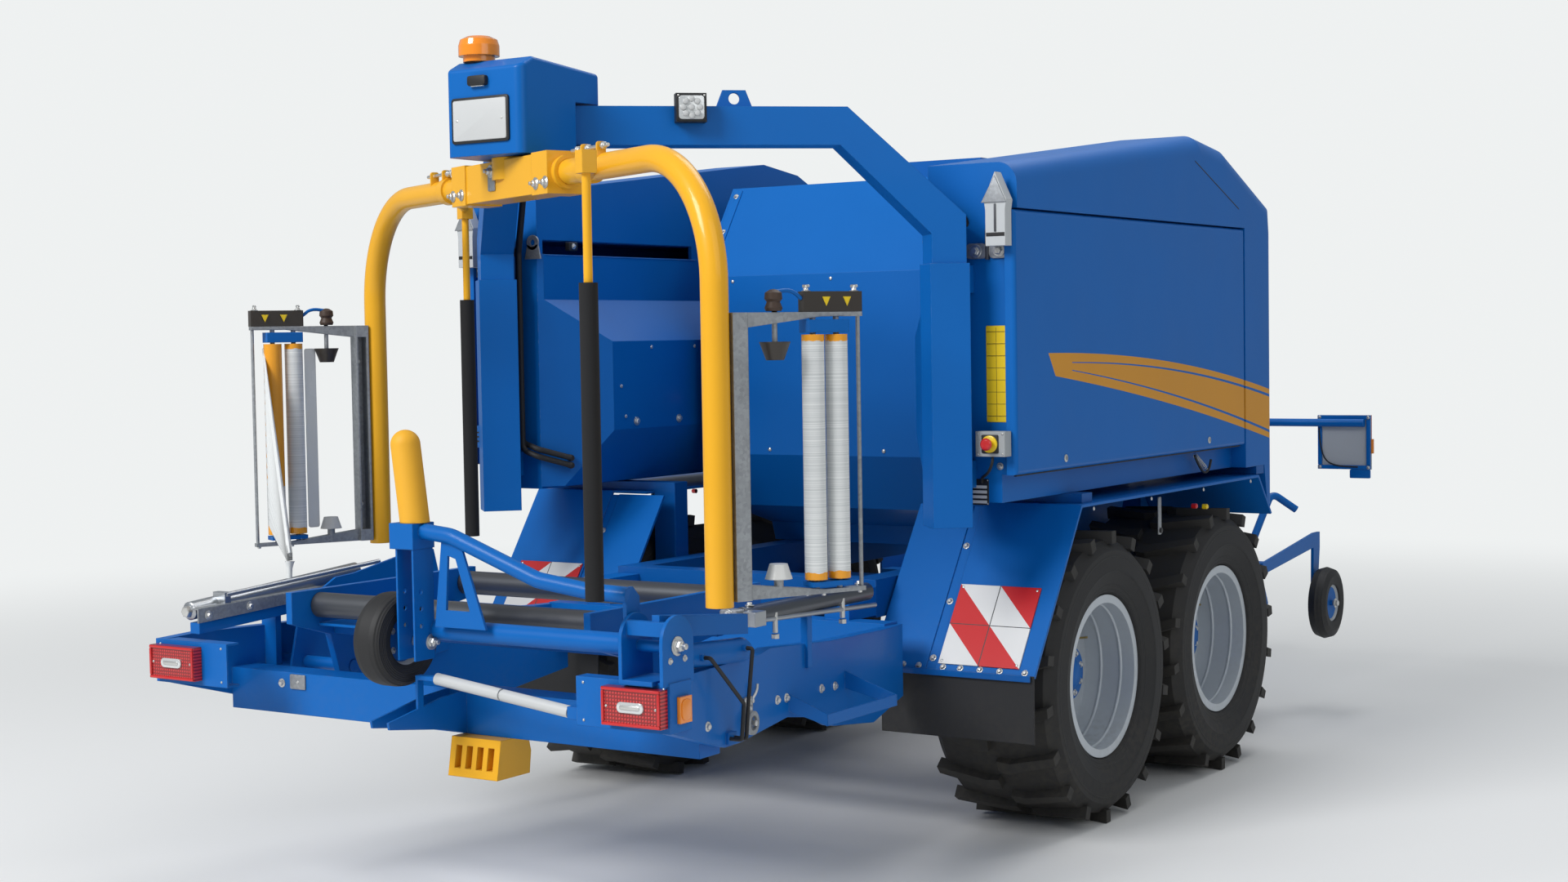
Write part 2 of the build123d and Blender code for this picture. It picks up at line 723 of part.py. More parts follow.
BRACE_RING = 620
with BuildPart() as rotor_arms_form:
    for side in (1, -1):
        pipe(
            [
                (side * (BEAM_HALF + SEAT), 0, ARM_Z),
                (side * ARM_RADIUS, 0, ARM_Z),
                (side * ARM_RADIUS, 0, ARM_FOOT),
            ],
            ARM_BEND,
            ARM_TUBE,
        )
        arm_x, arm_y = side * SAFETY_ARM[0], side * SAFETY_ARM[1]
        rod((side * (BRACE_RING - 25), 0, ARM_Z), (side * (BRACE_RING + 25), 0, ARM_Z), ARM_TUBE + 9)
        rod((side * BRACE_RING, 0, 2695), (arm_x, arm_y, 2695), 16)
        block((arm_x - 26, arm_x + 26), (arm_y - 26, arm_y + 26), (2650, 2725))
        rod((arm_x, arm_y, 2300), (arm_x, arm_y, 2660), SAFETY_ROD)

with BuildPart() as rotor_arms:
    add(rotor_arms_form.part.moved(rotor_place))

with BuildPart() as safety_foam_form:
    for side in (1, -1):
        arm_x, arm_y = side * SAFETY_ARM[0], side * SAFETY_ARM[1]
        rod((arm_x, arm_y, FILM_Z[0] + 8), (arm_x, arm_y, 2300 - SEAT), SAFETY_FOAM)

with BuildPart() as safety_foam:
    add(safety_foam_form.part.moved(rotor_place))


def film_bar(side, outline):
    """Flat bar of a film frame from an outline of (tangent, z)."""
    plane = Plane(origin=(side * ARM_RADIUS, 0, 0), x_dir=(0, side, 0), z_dir=(side, 0, 0))
    slab(plane.offset(-FILM_BAR), outline, 2 * FILM_BAR)


BAR_SLIM = 15
BAR_DEEP = 50
BAR_TAPER = 400
with BuildPart() as film_frames_form:
    for side in (1, -1):
        post = sorted((side * FILM_POST[0], side * FILM_POST[1]))
        slot = sorted((side * (FILM_POST[0] + 10), side * (FILM_POST[1] - 8)))
        block((side * ARM_RADIUS - 35, side * ARM_RADIUS + 35), post, FILM_Z)
        block(
            sorted((side * (ARM_RADIUS - 36), side * (ARM_RADIUS + 25))),
            slot,
            (FILM_Z[0] + BAR_DEEP, FILM_Z[1] - BAR_DEEP),
            mode=Mode.SUBTRACT,
        )
        for edge_z, inward in ((FILM_Z[0], 1), (FILM_Z[1], -1)):
            film_bar(
                side,
                [
                    (FILM_POST[1] - 1, edge_z),
                    (FILM_END, edge_z),
                    (FILM_END, edge_z + inward * BAR_SLIM),
                    (BAR_TAPER, edge_z + inward * BAR_SLIM),
                    (FILM_POST[1] - 1, edge_z + inward * BAR_DEEP),
                ],
            )
        for tangent in FILM_ROLLERS:
            rod((side * ARM_RADIUS, side * tangent, FILM_Z[0]), (side * ARM_RADIUS, side * tangent, FILM_Z[1]), FILM_PIN)
        rod((side * ARM_RADIUS, side * (FILM_END - 9), FILM_Z[0]), (side * ARM_RADIUS, side * (FILM_END - 9), FILM_Z[1]), 7)
        rod((side * ARM_RADIUS, side * FILM_CONE, FILM_Z[0] + 5), (side * ARM_RADIUS, side * FILM_CONE, FILM_Z[0] + 60), 16)
        rod((side * ARM_RADIUS, side * FILM_CONE, 2080), (side * ARM_RADIUS, side * FILM_CONE, FILM_Z[1] + 50), 9)

with BuildPart() as film_frames:
    add(film_frames_form.part.moved(rotor_place))

CAP_HALF = 32
with BuildPart() as film_caps_form:
    for side in (1, -1):
        across = (side * ARM_RADIUS - CAP_HALF, side * ARM_RADIUS + CAP_HALF)
        along = sorted((side * (FILM_ROLLERS[0] - CAP_HALF), side * (FILM_ROLLERS[1] + CAP_HALF)))
        block(across, along, (FILM_Z[0] + BAR_SLIM + 10, ROLLER_Z[0] - 6))
        block(across, along, (ROLLER_Z[1] + 6, FILM_Z[1] - BAR_SLIM - 10))
        for tangent in FILM_ROLLERS:
            rod(
                (side * ARM_RADIUS, side * tangent, FILM_Z[0]),
                (side * ARM_RADIUS, side * tangent, FILM_Z[1]),
                FILM_PIN + SEAT,
                Mode.SUBTRACT,
            )

with BuildPart() as film_caps:
    add(film_caps_form.part.moved(rotor_place))

# Black bars over the stretch rollers, and the cones that hold a film roll
with BuildPart() as film_holders_form:
    for side in (1, -1):
        block(
            (side * ARM_RADIUS - 20, side * ARM_RADIUS + 15),
            sorted((side * (FILM_ROLLERS[0] - 42), side * FILM_END)),
            (FILM_Z[1] + SEAT, FILM_Z[1] + 68),
        )
        x, y = side * ARM_RADIUS, side * FILM_CONE
        # cone: (low z, high z, low radius, high radius)
        for low_z, high_z, low_r, high_r in ((FILM_Z[0] + 60.4, FILM_Z[0] + 110, 46, 30), (2040, 2100, 30, 52)):
            with BuildSketch(Plane.XY.offset(low_z)) as low:
                with Locations((x, y)):
                    Circle(low_r)
            with BuildSketch(Plane.XY.offset(high_z)) as high:
                with Locations((x, y)):
                    Circle(high_r)
            loft([low.sketch.faces()[0], high.sketch.faces()[0]])
        rod((x, y, 2080 - SEAT), (x, y, 2101), 9 + SEAT, Mode.SUBTRACT)

with BuildPart() as film_holders:
    add(film_holders_form.part.moved(rotor_place))


def film_roller(side, tangent):
    """One stretch roller on its pin in a film frame."""
    low = (side * ARM_RADIUS, side * tangent, ROLLER_Z[0])
    high = (side * ARM_RADIUS, side * tangent, ROLLER_Z[1])
    with BuildPart() as roller:
        rod(low, high, FILM_ROLLER_RADIUS)
        rod(low, high, FILM_PIN + RUN, Mode.SUBTRACT)
    return roller.part.moved(rotor_place)


# Fixed base of the wrapping table: side frames that spread rearwards, beams and lamp carriers
base_plane = Plane(
    origin=(CARRIER_X[1], station(-3600), 0),
    x_dir=(-sin(radians(BASE_TURN)), cos(radians(BASE_TURN)), 0),
    z_dir=(cos(radians(BASE_TURN)), sin(radians(BASE_TURN)), 0),
)
BASE_BEAM = (station(-3320), station(-3200))
BASE_BEAM_Z = (700, 860)
HOOK_X = ((0, 10), (80, 90))
CAM_X = ((1030, 1044), (1196, 1210))
CAM_Y = (station(-3640), station(-3470))
CAM_ROUND = (CAM_Y[1] - CAM_Y[0]) / 2

with BuildPart() as table_base:
    slab(
        base_plane,
        [
            (0, CARRIER_Z[0]),
            (0, CARRIER_Z[1]),
            (160, 1013),
            (687, 1004),
            (761, 1014),
            (1317, 967),
            (1855, 939),
            (2065, 935),
            (2065, 640),
            (1736, 585),
            (1336, 639),
            (1180, 698),
            (903, 744),
            (512, 722),
            (383, 726),
        ],
        -BASE_WALL,
    )
    block((RAIL_X[0], RAIL_X[1]), (station(-1620), FRAME_REAR - SEAT), (940, 1060))
    # lamp carrier: rear sheet, lips and the square end behind the marker lamp
    carrier_front = CARRIER_REAR + 60
    block(CARRIER_X, (CARRIER_REAR, CARRIER_REAR + 8), CARRIER_Z)
    for lip_z in (CARRIER_Z[0], CARRIER_Z[1] - 8):
        block(CARRIER_X, (CARRIER_REAR, carrier_front), (lip_z, lip_z + 8))
    block((CARRIER_X[1] - 60, CARRIER_X[1]), (CARRIER_REAR, station(-3490)), CARRIER_Z)
    rod((1100, *TABLE_PIVOT), (CHEEK_X[0] - 5, *TABLE_PIVOT), 25)
    mirror(about=Plane.YZ)
    block((-BASE_FRONT_X + 30, BASE_FRONT_X - 30), (station(-1660), station(-1560)), (760, 945))
    block((-1120, 1120), BASE_BEAM, BASE_BEAM_Z)
    # cam plates with the tipper's pin
    cam_y = (CAM_Y[0] + CAM_Y[1]) / 2
    cam_z = 1220 - CAM_ROUND
    for cam_x in CAM_X:
        block(cam_x, CAM_Y, (CARRIER_Z[1] - 10, cam_z))
        rod((cam_x[0], cam_y, cam_z), (cam_x[1], cam_y, cam_z), CAM_ROUND)
    block((CAM_X[0][0], CARRIER_X[1] - 50), CAM_Y, (CARRIER_Z[1] - 10, CARRIER_Z[1] + 6))
    rod((CAM_X[0][0] - 70, *TIPPER_PIVOT), (CAM_X[1][1] + 14, *TIPPER_PIVOT), 20)
    # arm and cylinder of the right-hand film clamp
    block((CAM_X[0][0], CAM_X[1][1]), (station(-3612), station(-3585)), (1152, 1200))
    side_slab((1140, 1170), [(station(-3600), 1150), (station(-3600), 1222), (station(-3090), 1168), (station(-3090), 1100)])
    rod((1150, station(-3480), 1068), (1150, station(-3105), 1046), 42)
    rod((1150, station(-3120), 1047), (1150, station(-3080), 1045), 30)
    for port_y in (-3400, -3150):
        rod((1150, station(port_y), 1060), (1205, station(port_y), 1060), 12)
    block((1136, 1168), (station(-3215), station(-3165)), (735, 775))
    # hooks, the holder of the white tube and the supports of the film clamps
    for hook_x in HOOK_X:
        side_slab(
            hook_x,
            [
                (BASE_BEAM[0] + 10, 700),
                (BASE_BEAM[0] + 10, 860),
                (station(-3450), 850),
                (station(-3725), 800),
                (station(-3720), 775),
                (station(-3450), 735),
            ],
        )
    block(HOOK_X[1], (station(-3575), station(-3545)), (800, 946))
    block((HOOK_X[1][0], 168), (station(-3575), station(-3545)), (930, 946))
    block((772, CARRIER_X[0] + 5), (station(-3590), station(-3552)), (850, 892))
    block((CLAMP_X - 15, CLAMP_X + 15), (station(-2545), station(-2515)), (900, 1134 - CLAMP_RADIUS - SEAT))
    block((-1112, -CLAMP_X + 15), (station(-3165), station(-3135)), (850, 1109.7))
    # open bracket outside the right-hand side frame: (root x, root y, tip y) of its two arms
    bracket_x = 1208
    for root_x, root_y, tip_y in ((1050, -2700, -2640), (972, -2170, -2150)):
        along = Vector(bracket_x - root_x, tip_y - root_y, 0)
        arm_plane = Plane(origin=(root_x, station(root_y), 0), x_dir=along, z_dir=along.cross(Vector(0, 0, 1)))
        slab(arm_plane.offset(-4), [(0, 840), (along.length, 754), (along.length, 712), (0, 772)], 8)
    block((bracket_x - 8, bracket_x), (station(-2645), station(-2145)), (712, 754))
    # guard plate on the left-hand side with its curved rear edge
    side_slab(
        (-962, -950),
        [
            (station(-2903), 739),
            (station(-3189), 755),
            (station(-3129), 1003),
            (station(-3070), 1080),
            (station(-2993), 1138),
            (station(-2910), 1179),
            (station(-2803), 1186),
            (station(-2481), 1241),
            (station(-2330), 1241),
            (station(-2250), 960),
            (station(-2250), 800),
        ],
    )

with BuildPart() as rear_lamps:
    block((965, 1205), (CARRIER_REAR - 40, CARRIER_REAR - SEAT), (858, 985))
    mirror(about=Plane.YZ)

# Amber side markers behind and on the front boards
with BuildPart() as marker_lamps:
    block((CARRIER_X[1] + SEAT, CARRIER_X[1] + 14), (station(-3575), station(-3510)), (868, 955))
    block((MARKER_X[1] + SEAT, MARKER_X[1] + 12), (board_y, board_y + 16), (1420, 1500))
    mirror(about=Plane.YZ)

# White tube in two parts across the rear, and the wheel chock under the rear beam
with BuildPart() as white_tube:
    tube_ends = ((169.3, station(-3560), 938), (769.3, station(-3571), 871))
    middle = tuple((a + b) / 2 for a, b in zip(*tube_ends))
    rod(tube_ends[0], tube_ends[1], 17)
    rod(tube_ends[0], (middle[0] - 4, middle[1], middle[2] + 0.5), 21)
    rod((middle[0] + 4, middle[1], middle[2] - 0.5), tube_ends[1], 21)

with BuildPart() as wheel_chock:
    side_slab(
        (70, 300),
        [
            (station(-3405), 560),
            (station(-3380), BASE_BEAM_Z[0] - SEAT),
            (station(-3230), BASE_BEAM_Z[0] - SEAT),
            (station(-3215), 640),
            (station(-3225), 560),
        ],
    )
    for slot_x in (110, 160, 210, 260):
        block((slot_x - 14, slot_x + 14), (station(-3410), station(-3340)), (590, 670), mode=Mode.SUBTRACT)

# Film clamps beside the table, one on each side of the rotor's centre
with BuildPart() as film_clamps:
    rod((CLAMP_X, station(-2950), 1134), (CLAMP_X, station(-2100), 1134), CLAMP_RADIUS)
    block((CLAMP_X - 10, 1140 - SEAT), (station(-3000), station(-2930)), (1108, 1160))
    rod((-CLAMP_X, station(-3500), 1120), (-CLAMP_X, station(-2700), 1180), CLAMP_RADIUS)
    # slim bar under or over each clamp: (x, y rear, z rear, y front, z front)
    for x, y_rear, z_rear, y_front, z_front in (
        (CLAMP_X + 28, -2990, 1120, -2080, 1082),
        (-990, -3460, 1165, -2620, 1215),
    ):
        rod((x, station(y_rear), z_rear), (x, station(y_front), z_front), 9)
    block((-CLAMP_X, -985), (station(-3470), station(-3440)), (1115, 1175))

# Hoses that the machine holds all the way: down the left post, and at the film clamp's cylinder
with BuildPart() as hoses:
    upright = gantry_plane(-1)
    for shift in (0, 34):
        points = [(1150, 2935 - shift), (395 - shift * 0.4, 2935 - shift), (shift - 17, 2520), (shift - 17, 1655 - shift)]
        route = [upright.from_local_coords((u, v, -104)) for u, v in points]
        elbow = Vector(-905, station(-1440), 1580 - shift)
        pipe([*route, Vector(-1000, station(-1560), 1625 - shift), elbow], 40, 13)
        rod(elbow, elbow + Vector(-0.776, 0.632, 0) * 38.2, 15)
    for port_y, foot_y in ((-3400, -3205), (-3150, -3178)):
        pipe(
            [
                (1205 + SEAT, station(port_y), 1060),
                (1228, station(port_y), 1060),
                (1226, station(foot_y), 880),
                (1215, station(foot_y), 755),
                (1168 + SEAT, station(foot_y), 755),
            ],
            8,
            7,
        )

# Tilting table with its cheeks and bed
with BuildPart() as table_frame:
    side_slab(
        CHEEK_X,
        [
            (station(-3400), 1060),
            (station(-3400), 1180),
            (station(-2350), 1180),
            (station(-2350), 1060),
            (station(-2900), 980),
            (station(-3020), 800),
            (station(-3140), 800),
            (station(-3200), 1000),
        ],
    )
    rod((CHEEK_X[0] - 5, *TABLE_PIVOT), (CHEEK_X[1] + 5, *TABLE_PIVOT), 25 + RUN, Mode.SUBTRACT)
    for roller in TABLE_ROLLERS.values():
        rod((CHEEK_X[0], *roller), (CHEEK_X[0] - 40, *roller), 15)
    mirror(about=Plane.YZ)
    block((-CHEEK_X[0], CHEEK_X[0]), (station(-3260), station(-2490)), (1040, 1050))
    for rib_y in (-3180, -2890, -2600):
        block((-CHEEK_X[0], CHEEK_X[0]), (station(rib_y), station(rib_y + 40)), (1000, 1040))


def table_roller(y, z):
    """End roller of the table between the cheeks."""
    reach = CHEEK_X[0] - 2
    with BuildPart() as roller:
        rod((-reach, y, z), (reach, y, z), TABLE_ROLLER)
        rod((-reach, y, z), (-reach + 45, y, z), 15 + RUN, Mode.SUBTRACT)
        rod((reach, y, z), (reach - 45, y, z), 15 + RUN, Mode.SUBTRACT)
    return roller.part


# Bale tipper: shaft, fork with its head, bent tube, padded post and wheel
with BuildPart() as tipper_arm:
    fork_y, fork_z = TIPPER_PIVOT
    shaft_end = CAM_X[0][0] - 6
    head_y = (TIPPER_FORK_Y[0] + TIPPER_FORK_Y[1]) / 2
    for fork_x in TIPPER_FORK:
        block(fork_x, TIPPER_FORK_Y, (1010, 1490))
        for hole_z in (1130, 1190, 1250):
            rod((fork_x[0], head_y - 15, hole_z), (fork_x[1], head_y - 15, hole_z), 9, Mode.SUBTRACT)
    block((TIPPER_FORK[0][0] - 22, TIPPER_FORK[1][1] + 4), (TIPPER_FORK_Y[0] - 5, TIPPER_FORK_Y[1] + 5), (1400, 1490))
    rod((TIPPER_FORK[1][0], fork_y, fork_z), (shaft_end, fork_y, fork_z), TIPPER_SHAFT)
    pipe(
        [
            (TIPPER_FORK[1][0], head_y, 1462),
            (290, head_y, 1448),
            (660, station(-3592), 1312),
            (860, station(-3580), 1284),
            (shaft_end, station(-3566), 1275),
        ],
        150,
        28,
    )
    side_slab(
        (shaft_end - 16, shaft_end),
        [
            (fork_y - 34, fork_z - 20),
            (fork_y + 34, fork_z - 20),
            (fork_y + 30, 1268),
            (fork_y - 5, 1303),
            (fork_y - 45, 1299),
        ],
    )
    with BuildSketch(Plane.XZ.offset(-(head_y + 6))) as gusset:
        with BuildLine():
            Polyline((210, fork_z + 20), (440, fork_z + 20), (330, 1430), (250, 1455), close=True)
        make_face()
        with BuildLine():
            Polyline((262, 1190), (370, 1190), (310, 1370), (275, 1380), close=True)
        make_face(mode=Mode.SUBTRACT)
    extrude(gusset.sketch, amount=10)
    rod((CAM_X[0][0] - 71, fork_y, fork_z), (shaft_end + 1, fork_y, fork_z), 20 + RUN, Mode.SUBTRACT)
    x, y, z = TIPPER_WHEEL
    rod((x - 80, y, z), (TIPPER_FORK[1][1] + 12, y, z), TIPPER_AXLE)

with BuildPart() as tipper_pad:
    pad_foot = Vector(125, head_y, 1480)
    pad_top = Vector(88, head_y, 1762)
    rod(pad_foot, pad_top, 52)
    with Locations(pad_top):
        Sphere(52)
    block((0, 250), (head_y - 100, head_y + 100), (1400, 1490 + SEAT), mode=Mode.SUBTRACT)

# Wheel sections are lists of (distance from the middle, radius)
def small_wheel(place, section, axle):
    """Small wheel about the X axis from its outer section."""
    x, y, z = place
    with BuildPart() as wheel:
        with BuildSketch(Plane(origin=place, x_dir=(1, 0, 0), z_dir=(0, 0, 1))) as half:
            with BuildLine():
                Polyline(*section, (section[-1][0], axle + RUN), (section[0][0], axle + RUN), close=True)
            make_face()
        revolve(half.sketch, axis=Axis((x, y, z), (1, 0, 0)))
    return wheel.part


TIPPER_SECTION = [
    (-30, 40),
    (-30, 78),
    (-58, 90),
    (-65, 120),
    (-60, 150),
    (-44, 164),
    (-26, TIPPER_TYRE),
    (26, TIPPER_TYRE),
    (44, 164),
    (60, 150),
    (65, 120),
    (58, 90),
    (30, 78),
    (30, 40),
]
GAUGE_SECTION = [
    (-25, 45),
    (-25, 95),
    (-44, 105),
    (-50, 150),
    (-38, 185),
    (0, GAUGE_RADIUS),
    (38, 185),
    (50, 150),
    (44, 105),
    (25, 95),
    (25, 45),
]

# Pickup: side plates, cross tube, arms to the gauge wheels, and the stripper bands
reel_y, reel_z = REEL
with BuildPart() as pickup_frame:
    side_slab(
        (PICKUP_SIDE, PICKUP_SIDE + SHEET),
        [
            (station(1500), 640),
            (station(1500), 860),
            (station(1750), 900),
            (station(2200), 780),
            (station(2300), 600),
            (station(2200), 420),
            (station(1750), 400),
        ],
    )
    side_slab(
        (RAIL_X[1] + 10, RAIL_X[1] + 40),
        [
            (station(1300), 950),
            (station(1300), 1050),
            (station(1400), 1050),
            (station(1620), 880),
            (station(1620), 700),
            (station(1500), 700),
        ],
    )
    rod((RAIL_X[1], pin_y, pin_z), (RAIL_X[1] + 60, pin_y, pin_z), 22 + RUN, Mode.SUBTRACT)
    rod((PICKUP_SIDE, reel_y, reel_z), (REEL_HALF - 20, reel_y, reel_z), 20)
    # gauge wheel arm on its cross tube
    rod((PICKUP_SIDE, station(1700), 860), (GAUGE_ARM[1], station(1700), 860), 25)
    side_slab(
        GAUGE_ARM,
        [
            (station(1650), 830),
            (station(1650), 890),
            (GAUGE[1] - 10, 985),
            (GAUGE[1] + 80, 985),
            (GAUGE[1] + 80, 900),
            (GAUGE[1] + 30, GAUGE[2] - 25),
            (GAUGE[1] - 30, GAUGE[2] - 25),
            (GAUGE[1] - 20, 905),
        ],
    )
    rod((GAUGE_ARM[0], GAUGE[1], GAUGE[2]), (GAUGE[0] + 40, GAUGE[1], GAUGE[2]), GAUGE_AXLE)
    pipe(
        [
            (PICKUP_SIDE + 20, station(1900), 840),
            (PICKUP_SIDE + 90, station(2150), 1225),
            (PICKUP_SIDE + 200, station(2230), 1130),
        ],
        40,
        20,
    )
    rod((PICKUP_SIDE + 6, station(1900), 850), (PICKUP_SIDE + 40, station(1900), 850), 28)
    mirror(about=Plane.YZ)
    block((-PICKUP_SIDE, PICKUP_SIDE), (station(1500), station(1620)), (700, 780))
    side_slab((-PICKUP_SIDE, PICKUP_SIDE), [(station(1619), 740), (station(1619), 748), (station(2260), 835), (station(2262), 827)])

# Bands between the tines, from under the cross tube round the reel
with BuildPart() as stripper_bands:
    band_count = 25
    band_pitch = (2 * REEL_HALF - 60) / band_count
    # stations round the reel, in degrees from the front, upwards positive
    bow = [150, 120, 90, 60, 30, 0, -30, -60, -90, -120]
    outside = [(reel_y + BAND_RADIUS * cos(radians(a)), reel_z + BAND_RADIUS * sin(radians(a))) for a in bow]
    inside = [(reel_y + (BAND_RADIUS - 12) * cos(radians(a)), reel_z + (BAND_RADIUS - 12) * sin(radians(a))) for a in bow]
    band_foot = station(1620) + SEAT
    for index in range(band_count):
        band_x = -REEL_HALF + 30 + band_pitch * (index + 0.5)
        side_slab((band_x - 14, band_x + 14), [(band_foot, 728), *outside, *reversed(inside), (band_foot, 712)])

TINE_COUNT = 26
COMB_REACH = 150
with BuildPart() as tine_reel:
    rod((-REEL_HALF, reel_y, reel_z), (REEL_HALF, reel_y, reel_z), 60)
    for turn in range(4):
        angle = 360 / 4 * turn
        comb = Plane(origin=(0, reel_y, reel_z), x_dir=(1, 0, 0), z_dir=(0, -sin(radians(angle)), cos(radians(angle))))
        points = [(-REEL_HALF + 20, 40), (-REEL_HALF + 20, COMB_REACH)]
        pitch = (2 * REEL_HALF - 60) / (TINE_COUNT - 1)
        for index in range(TINE_COUNT):
            x = -REEL_HALF + 30 + index * pitch
            points += [(x - 4, COMB_REACH), (x - 4, REEL_RADIUS), (x + 4, REEL_RADIUS), (x + 4, COMB_REACH)]
        points += [(REEL_HALF - 20, COMB_REACH), (REEL_HALF - 20, 40)]
        slab(comb.offset(-4), points, 8)
    for side in (-1, 1):
        rod((side * REEL_HALF, reel_y, reel_z), (side * (REEL_HALF - 60), reel_y, reel_z), 20 + RUN, Mode.SUBTRACT)


pieces = {
    "main_frame": main_frame.part,
    "bogie_beams": bogie_beams.part,
    "drawbar": drawbar.part,
    "gearbox": gearbox.part,
    "stand_sleeve": stand_sleeve.part,
    "stand_leg": stand_leg.part,
    "chamber_front": chamber_front.part,
    "tailgate": tailgate.part,
    "housing_right": housing_right.part,
    "housing_left": housing_left.part,
    "cover_right": cover_right.part,
    "cover_left": cover_left.part,
    "rear_fittings": rear_fittings.part,
    "fenders": fenders.part,
    "mudflaps": mudflaps.part,
    "marker_boards": marker_boards.part,
    "marker_lamps": marker_lamps.part,
    "work_lamps": work_lamps.part,
    "beacon": beacon.part,
    "hoses": hoses.part,
    "white_tube": white_tube.part,
    "wheel_chock": wheel_chock.part,
    "gantry": gantry.part,
    "gantry_hood": gantry_hood.part,
    "rotor_beam": rotor_beam.part,
    "rotor_arms": rotor_arms.part,
    "film_frames": film_frames.part,
    "film_caps": film_caps.part,
    "film_holders": film_holders.part,
    "safety_foam": safety_foam.part,
    "table_base": table_base.part,
    "rear_lamps": rear_lamps.part,
    "film_clamps": film_clamps.part,
    "table_frame": table_frame.part,
    "tipper_arm": tipper_arm.part,
    "tipper_pad": tipper_pad.part,
    "tipper_wheel": small_wheel(TIPPER_WHEEL, TIPPER_SECTION, TIPPER_AXLE),
    "pickup_frame": pickup_frame.part,
    "tine_reel": tine_reel.part,
    "stripper_bands": stripper_bands.part,
}
for side_name, side in (("right", 1), ("left", -1)):
    turned = Rot(0, 0, 0 if side == 1 else 180)
    for end_name, wheel_y in WHEEL_Y.items():
        spot = Pos(side * WHEEL_X, wheel_y, AXLE_Z) * turned
        pieces[f"wheel_{end_name}_{side_name}"] = rim_form.part.moved(spot)
        pieces[f"tyre_{end_name}_{side_name}"] = tyre_form.part.moved(spot)
    pieces[f"film_roller_inner_{side_name}"] = film_roller(side, FILM_ROLLERS[0])
    pieces[f"film_roller_outer_{side_name}"] = film_roller(side, FILM_ROLLERS[1])
    gauge_place = (side * GAUGE[0], GAUGE[1], GAUGE[2])
    pieces[f"gauge_wheel_{side_name}"] = small_wheel(gauge_place, GAUGE_SECTION, GAUGE_AXLE)
for end_name, place in TABLE_ROLLERS.items():
    pieces[f"table_roller_{end_name}"] = table_roller(*place)

for name, piece in pieces.items():
    piece.label = name
    export_step(piece, f"parts/{name}.step")
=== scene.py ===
import logging
import math
from dataclasses import dataclass, field
from enum import Enum

import bmesh
import bpy
from mathutils import Matrix, Vector


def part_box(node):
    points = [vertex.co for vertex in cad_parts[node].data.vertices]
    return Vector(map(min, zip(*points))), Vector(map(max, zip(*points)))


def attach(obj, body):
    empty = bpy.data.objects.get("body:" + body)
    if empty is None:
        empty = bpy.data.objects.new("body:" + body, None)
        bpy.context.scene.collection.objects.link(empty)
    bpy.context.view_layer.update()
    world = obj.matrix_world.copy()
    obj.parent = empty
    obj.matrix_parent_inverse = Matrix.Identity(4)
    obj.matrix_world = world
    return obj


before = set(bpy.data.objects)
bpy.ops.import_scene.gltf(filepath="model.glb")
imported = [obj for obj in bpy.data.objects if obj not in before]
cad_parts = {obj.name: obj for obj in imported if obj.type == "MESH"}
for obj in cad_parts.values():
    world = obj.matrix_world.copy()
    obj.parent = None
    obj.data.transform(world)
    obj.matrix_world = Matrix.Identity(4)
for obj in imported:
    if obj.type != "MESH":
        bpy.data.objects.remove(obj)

LOG = logging.getLogger("wrapper")
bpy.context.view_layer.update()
COAT_ROUGHNESS = 0.08
SPECULAR_PAINT, SPECULAR_OTHER = 0.18, 0.45
SMOOTH_ANGLE = math.radians(38)
TANDEM_Y = -0.160

# Axles as a distance from the tandem's middle and a height, and the fenders' rear slope
ROAD_AXLE = (0.658, 0.630)
TIPPER_AXLE = (-3.573, 1.070)
GAUGE_AXLE = (2.450, 0.600)
SLOPE_FOOT = (-1.470, 0.740)
SLOPE_WAY = (0.5678, 0.8232)

Colour = tuple[float, float, float]
Point = tuple[float, float, float]
Outline = list[tuple[float, float]]
Socket = bpy.types.NodeSocket
RIGHT, LEFT = 1, -1
SIDE_NAME = {RIGHT: "right", LEFT: "left"}
FORWARD, BACK = (0, 1, 0), (0, -1, 0)
UP, DOWN = (0, 0, 1), (0, 0, -1)


class Kind(Enum):
    """What a surface is made of, for its fine structure."""

    PAINT = "paint"
    METAL = "metal"
    RUBBER = "rubber"
    PLASTIC = "plastic"


class Slot(Enum):
    """Material slots of the record."""

    PAINT = "blue_paint"
    STEEL = "galvanised"
    PLASTIC = "black_plastic"


@dataclass(frozen=True)
class Finish:
    """One surface finish.

    Args:
        name: Material name.
        kind: What the surface is made of.
        colour: Base colour in linear values.
        roughness: Mean roughness.
        metallic: Metallic value.
        coat: Clear coat weight.
        grain: Strength of the fine bump.
        grain_size: Feature size of the fine bump in metres.
        dust: Share of dust that gathers near the ground and on top faces.
        wear: Share of bare or lighter edges.
        waves: Strength of the large soft waves of sheet metal.
    """

    name: str
    kind: Kind
    colour: Colour
    roughness: float
    metallic: float = 0.0
    coat: float = 0.0
    grain: float = 0.1
    grain_size: float = 0.01
    dust: float = 0.10
    wear: float = 0.20
    waves: float = 0.0


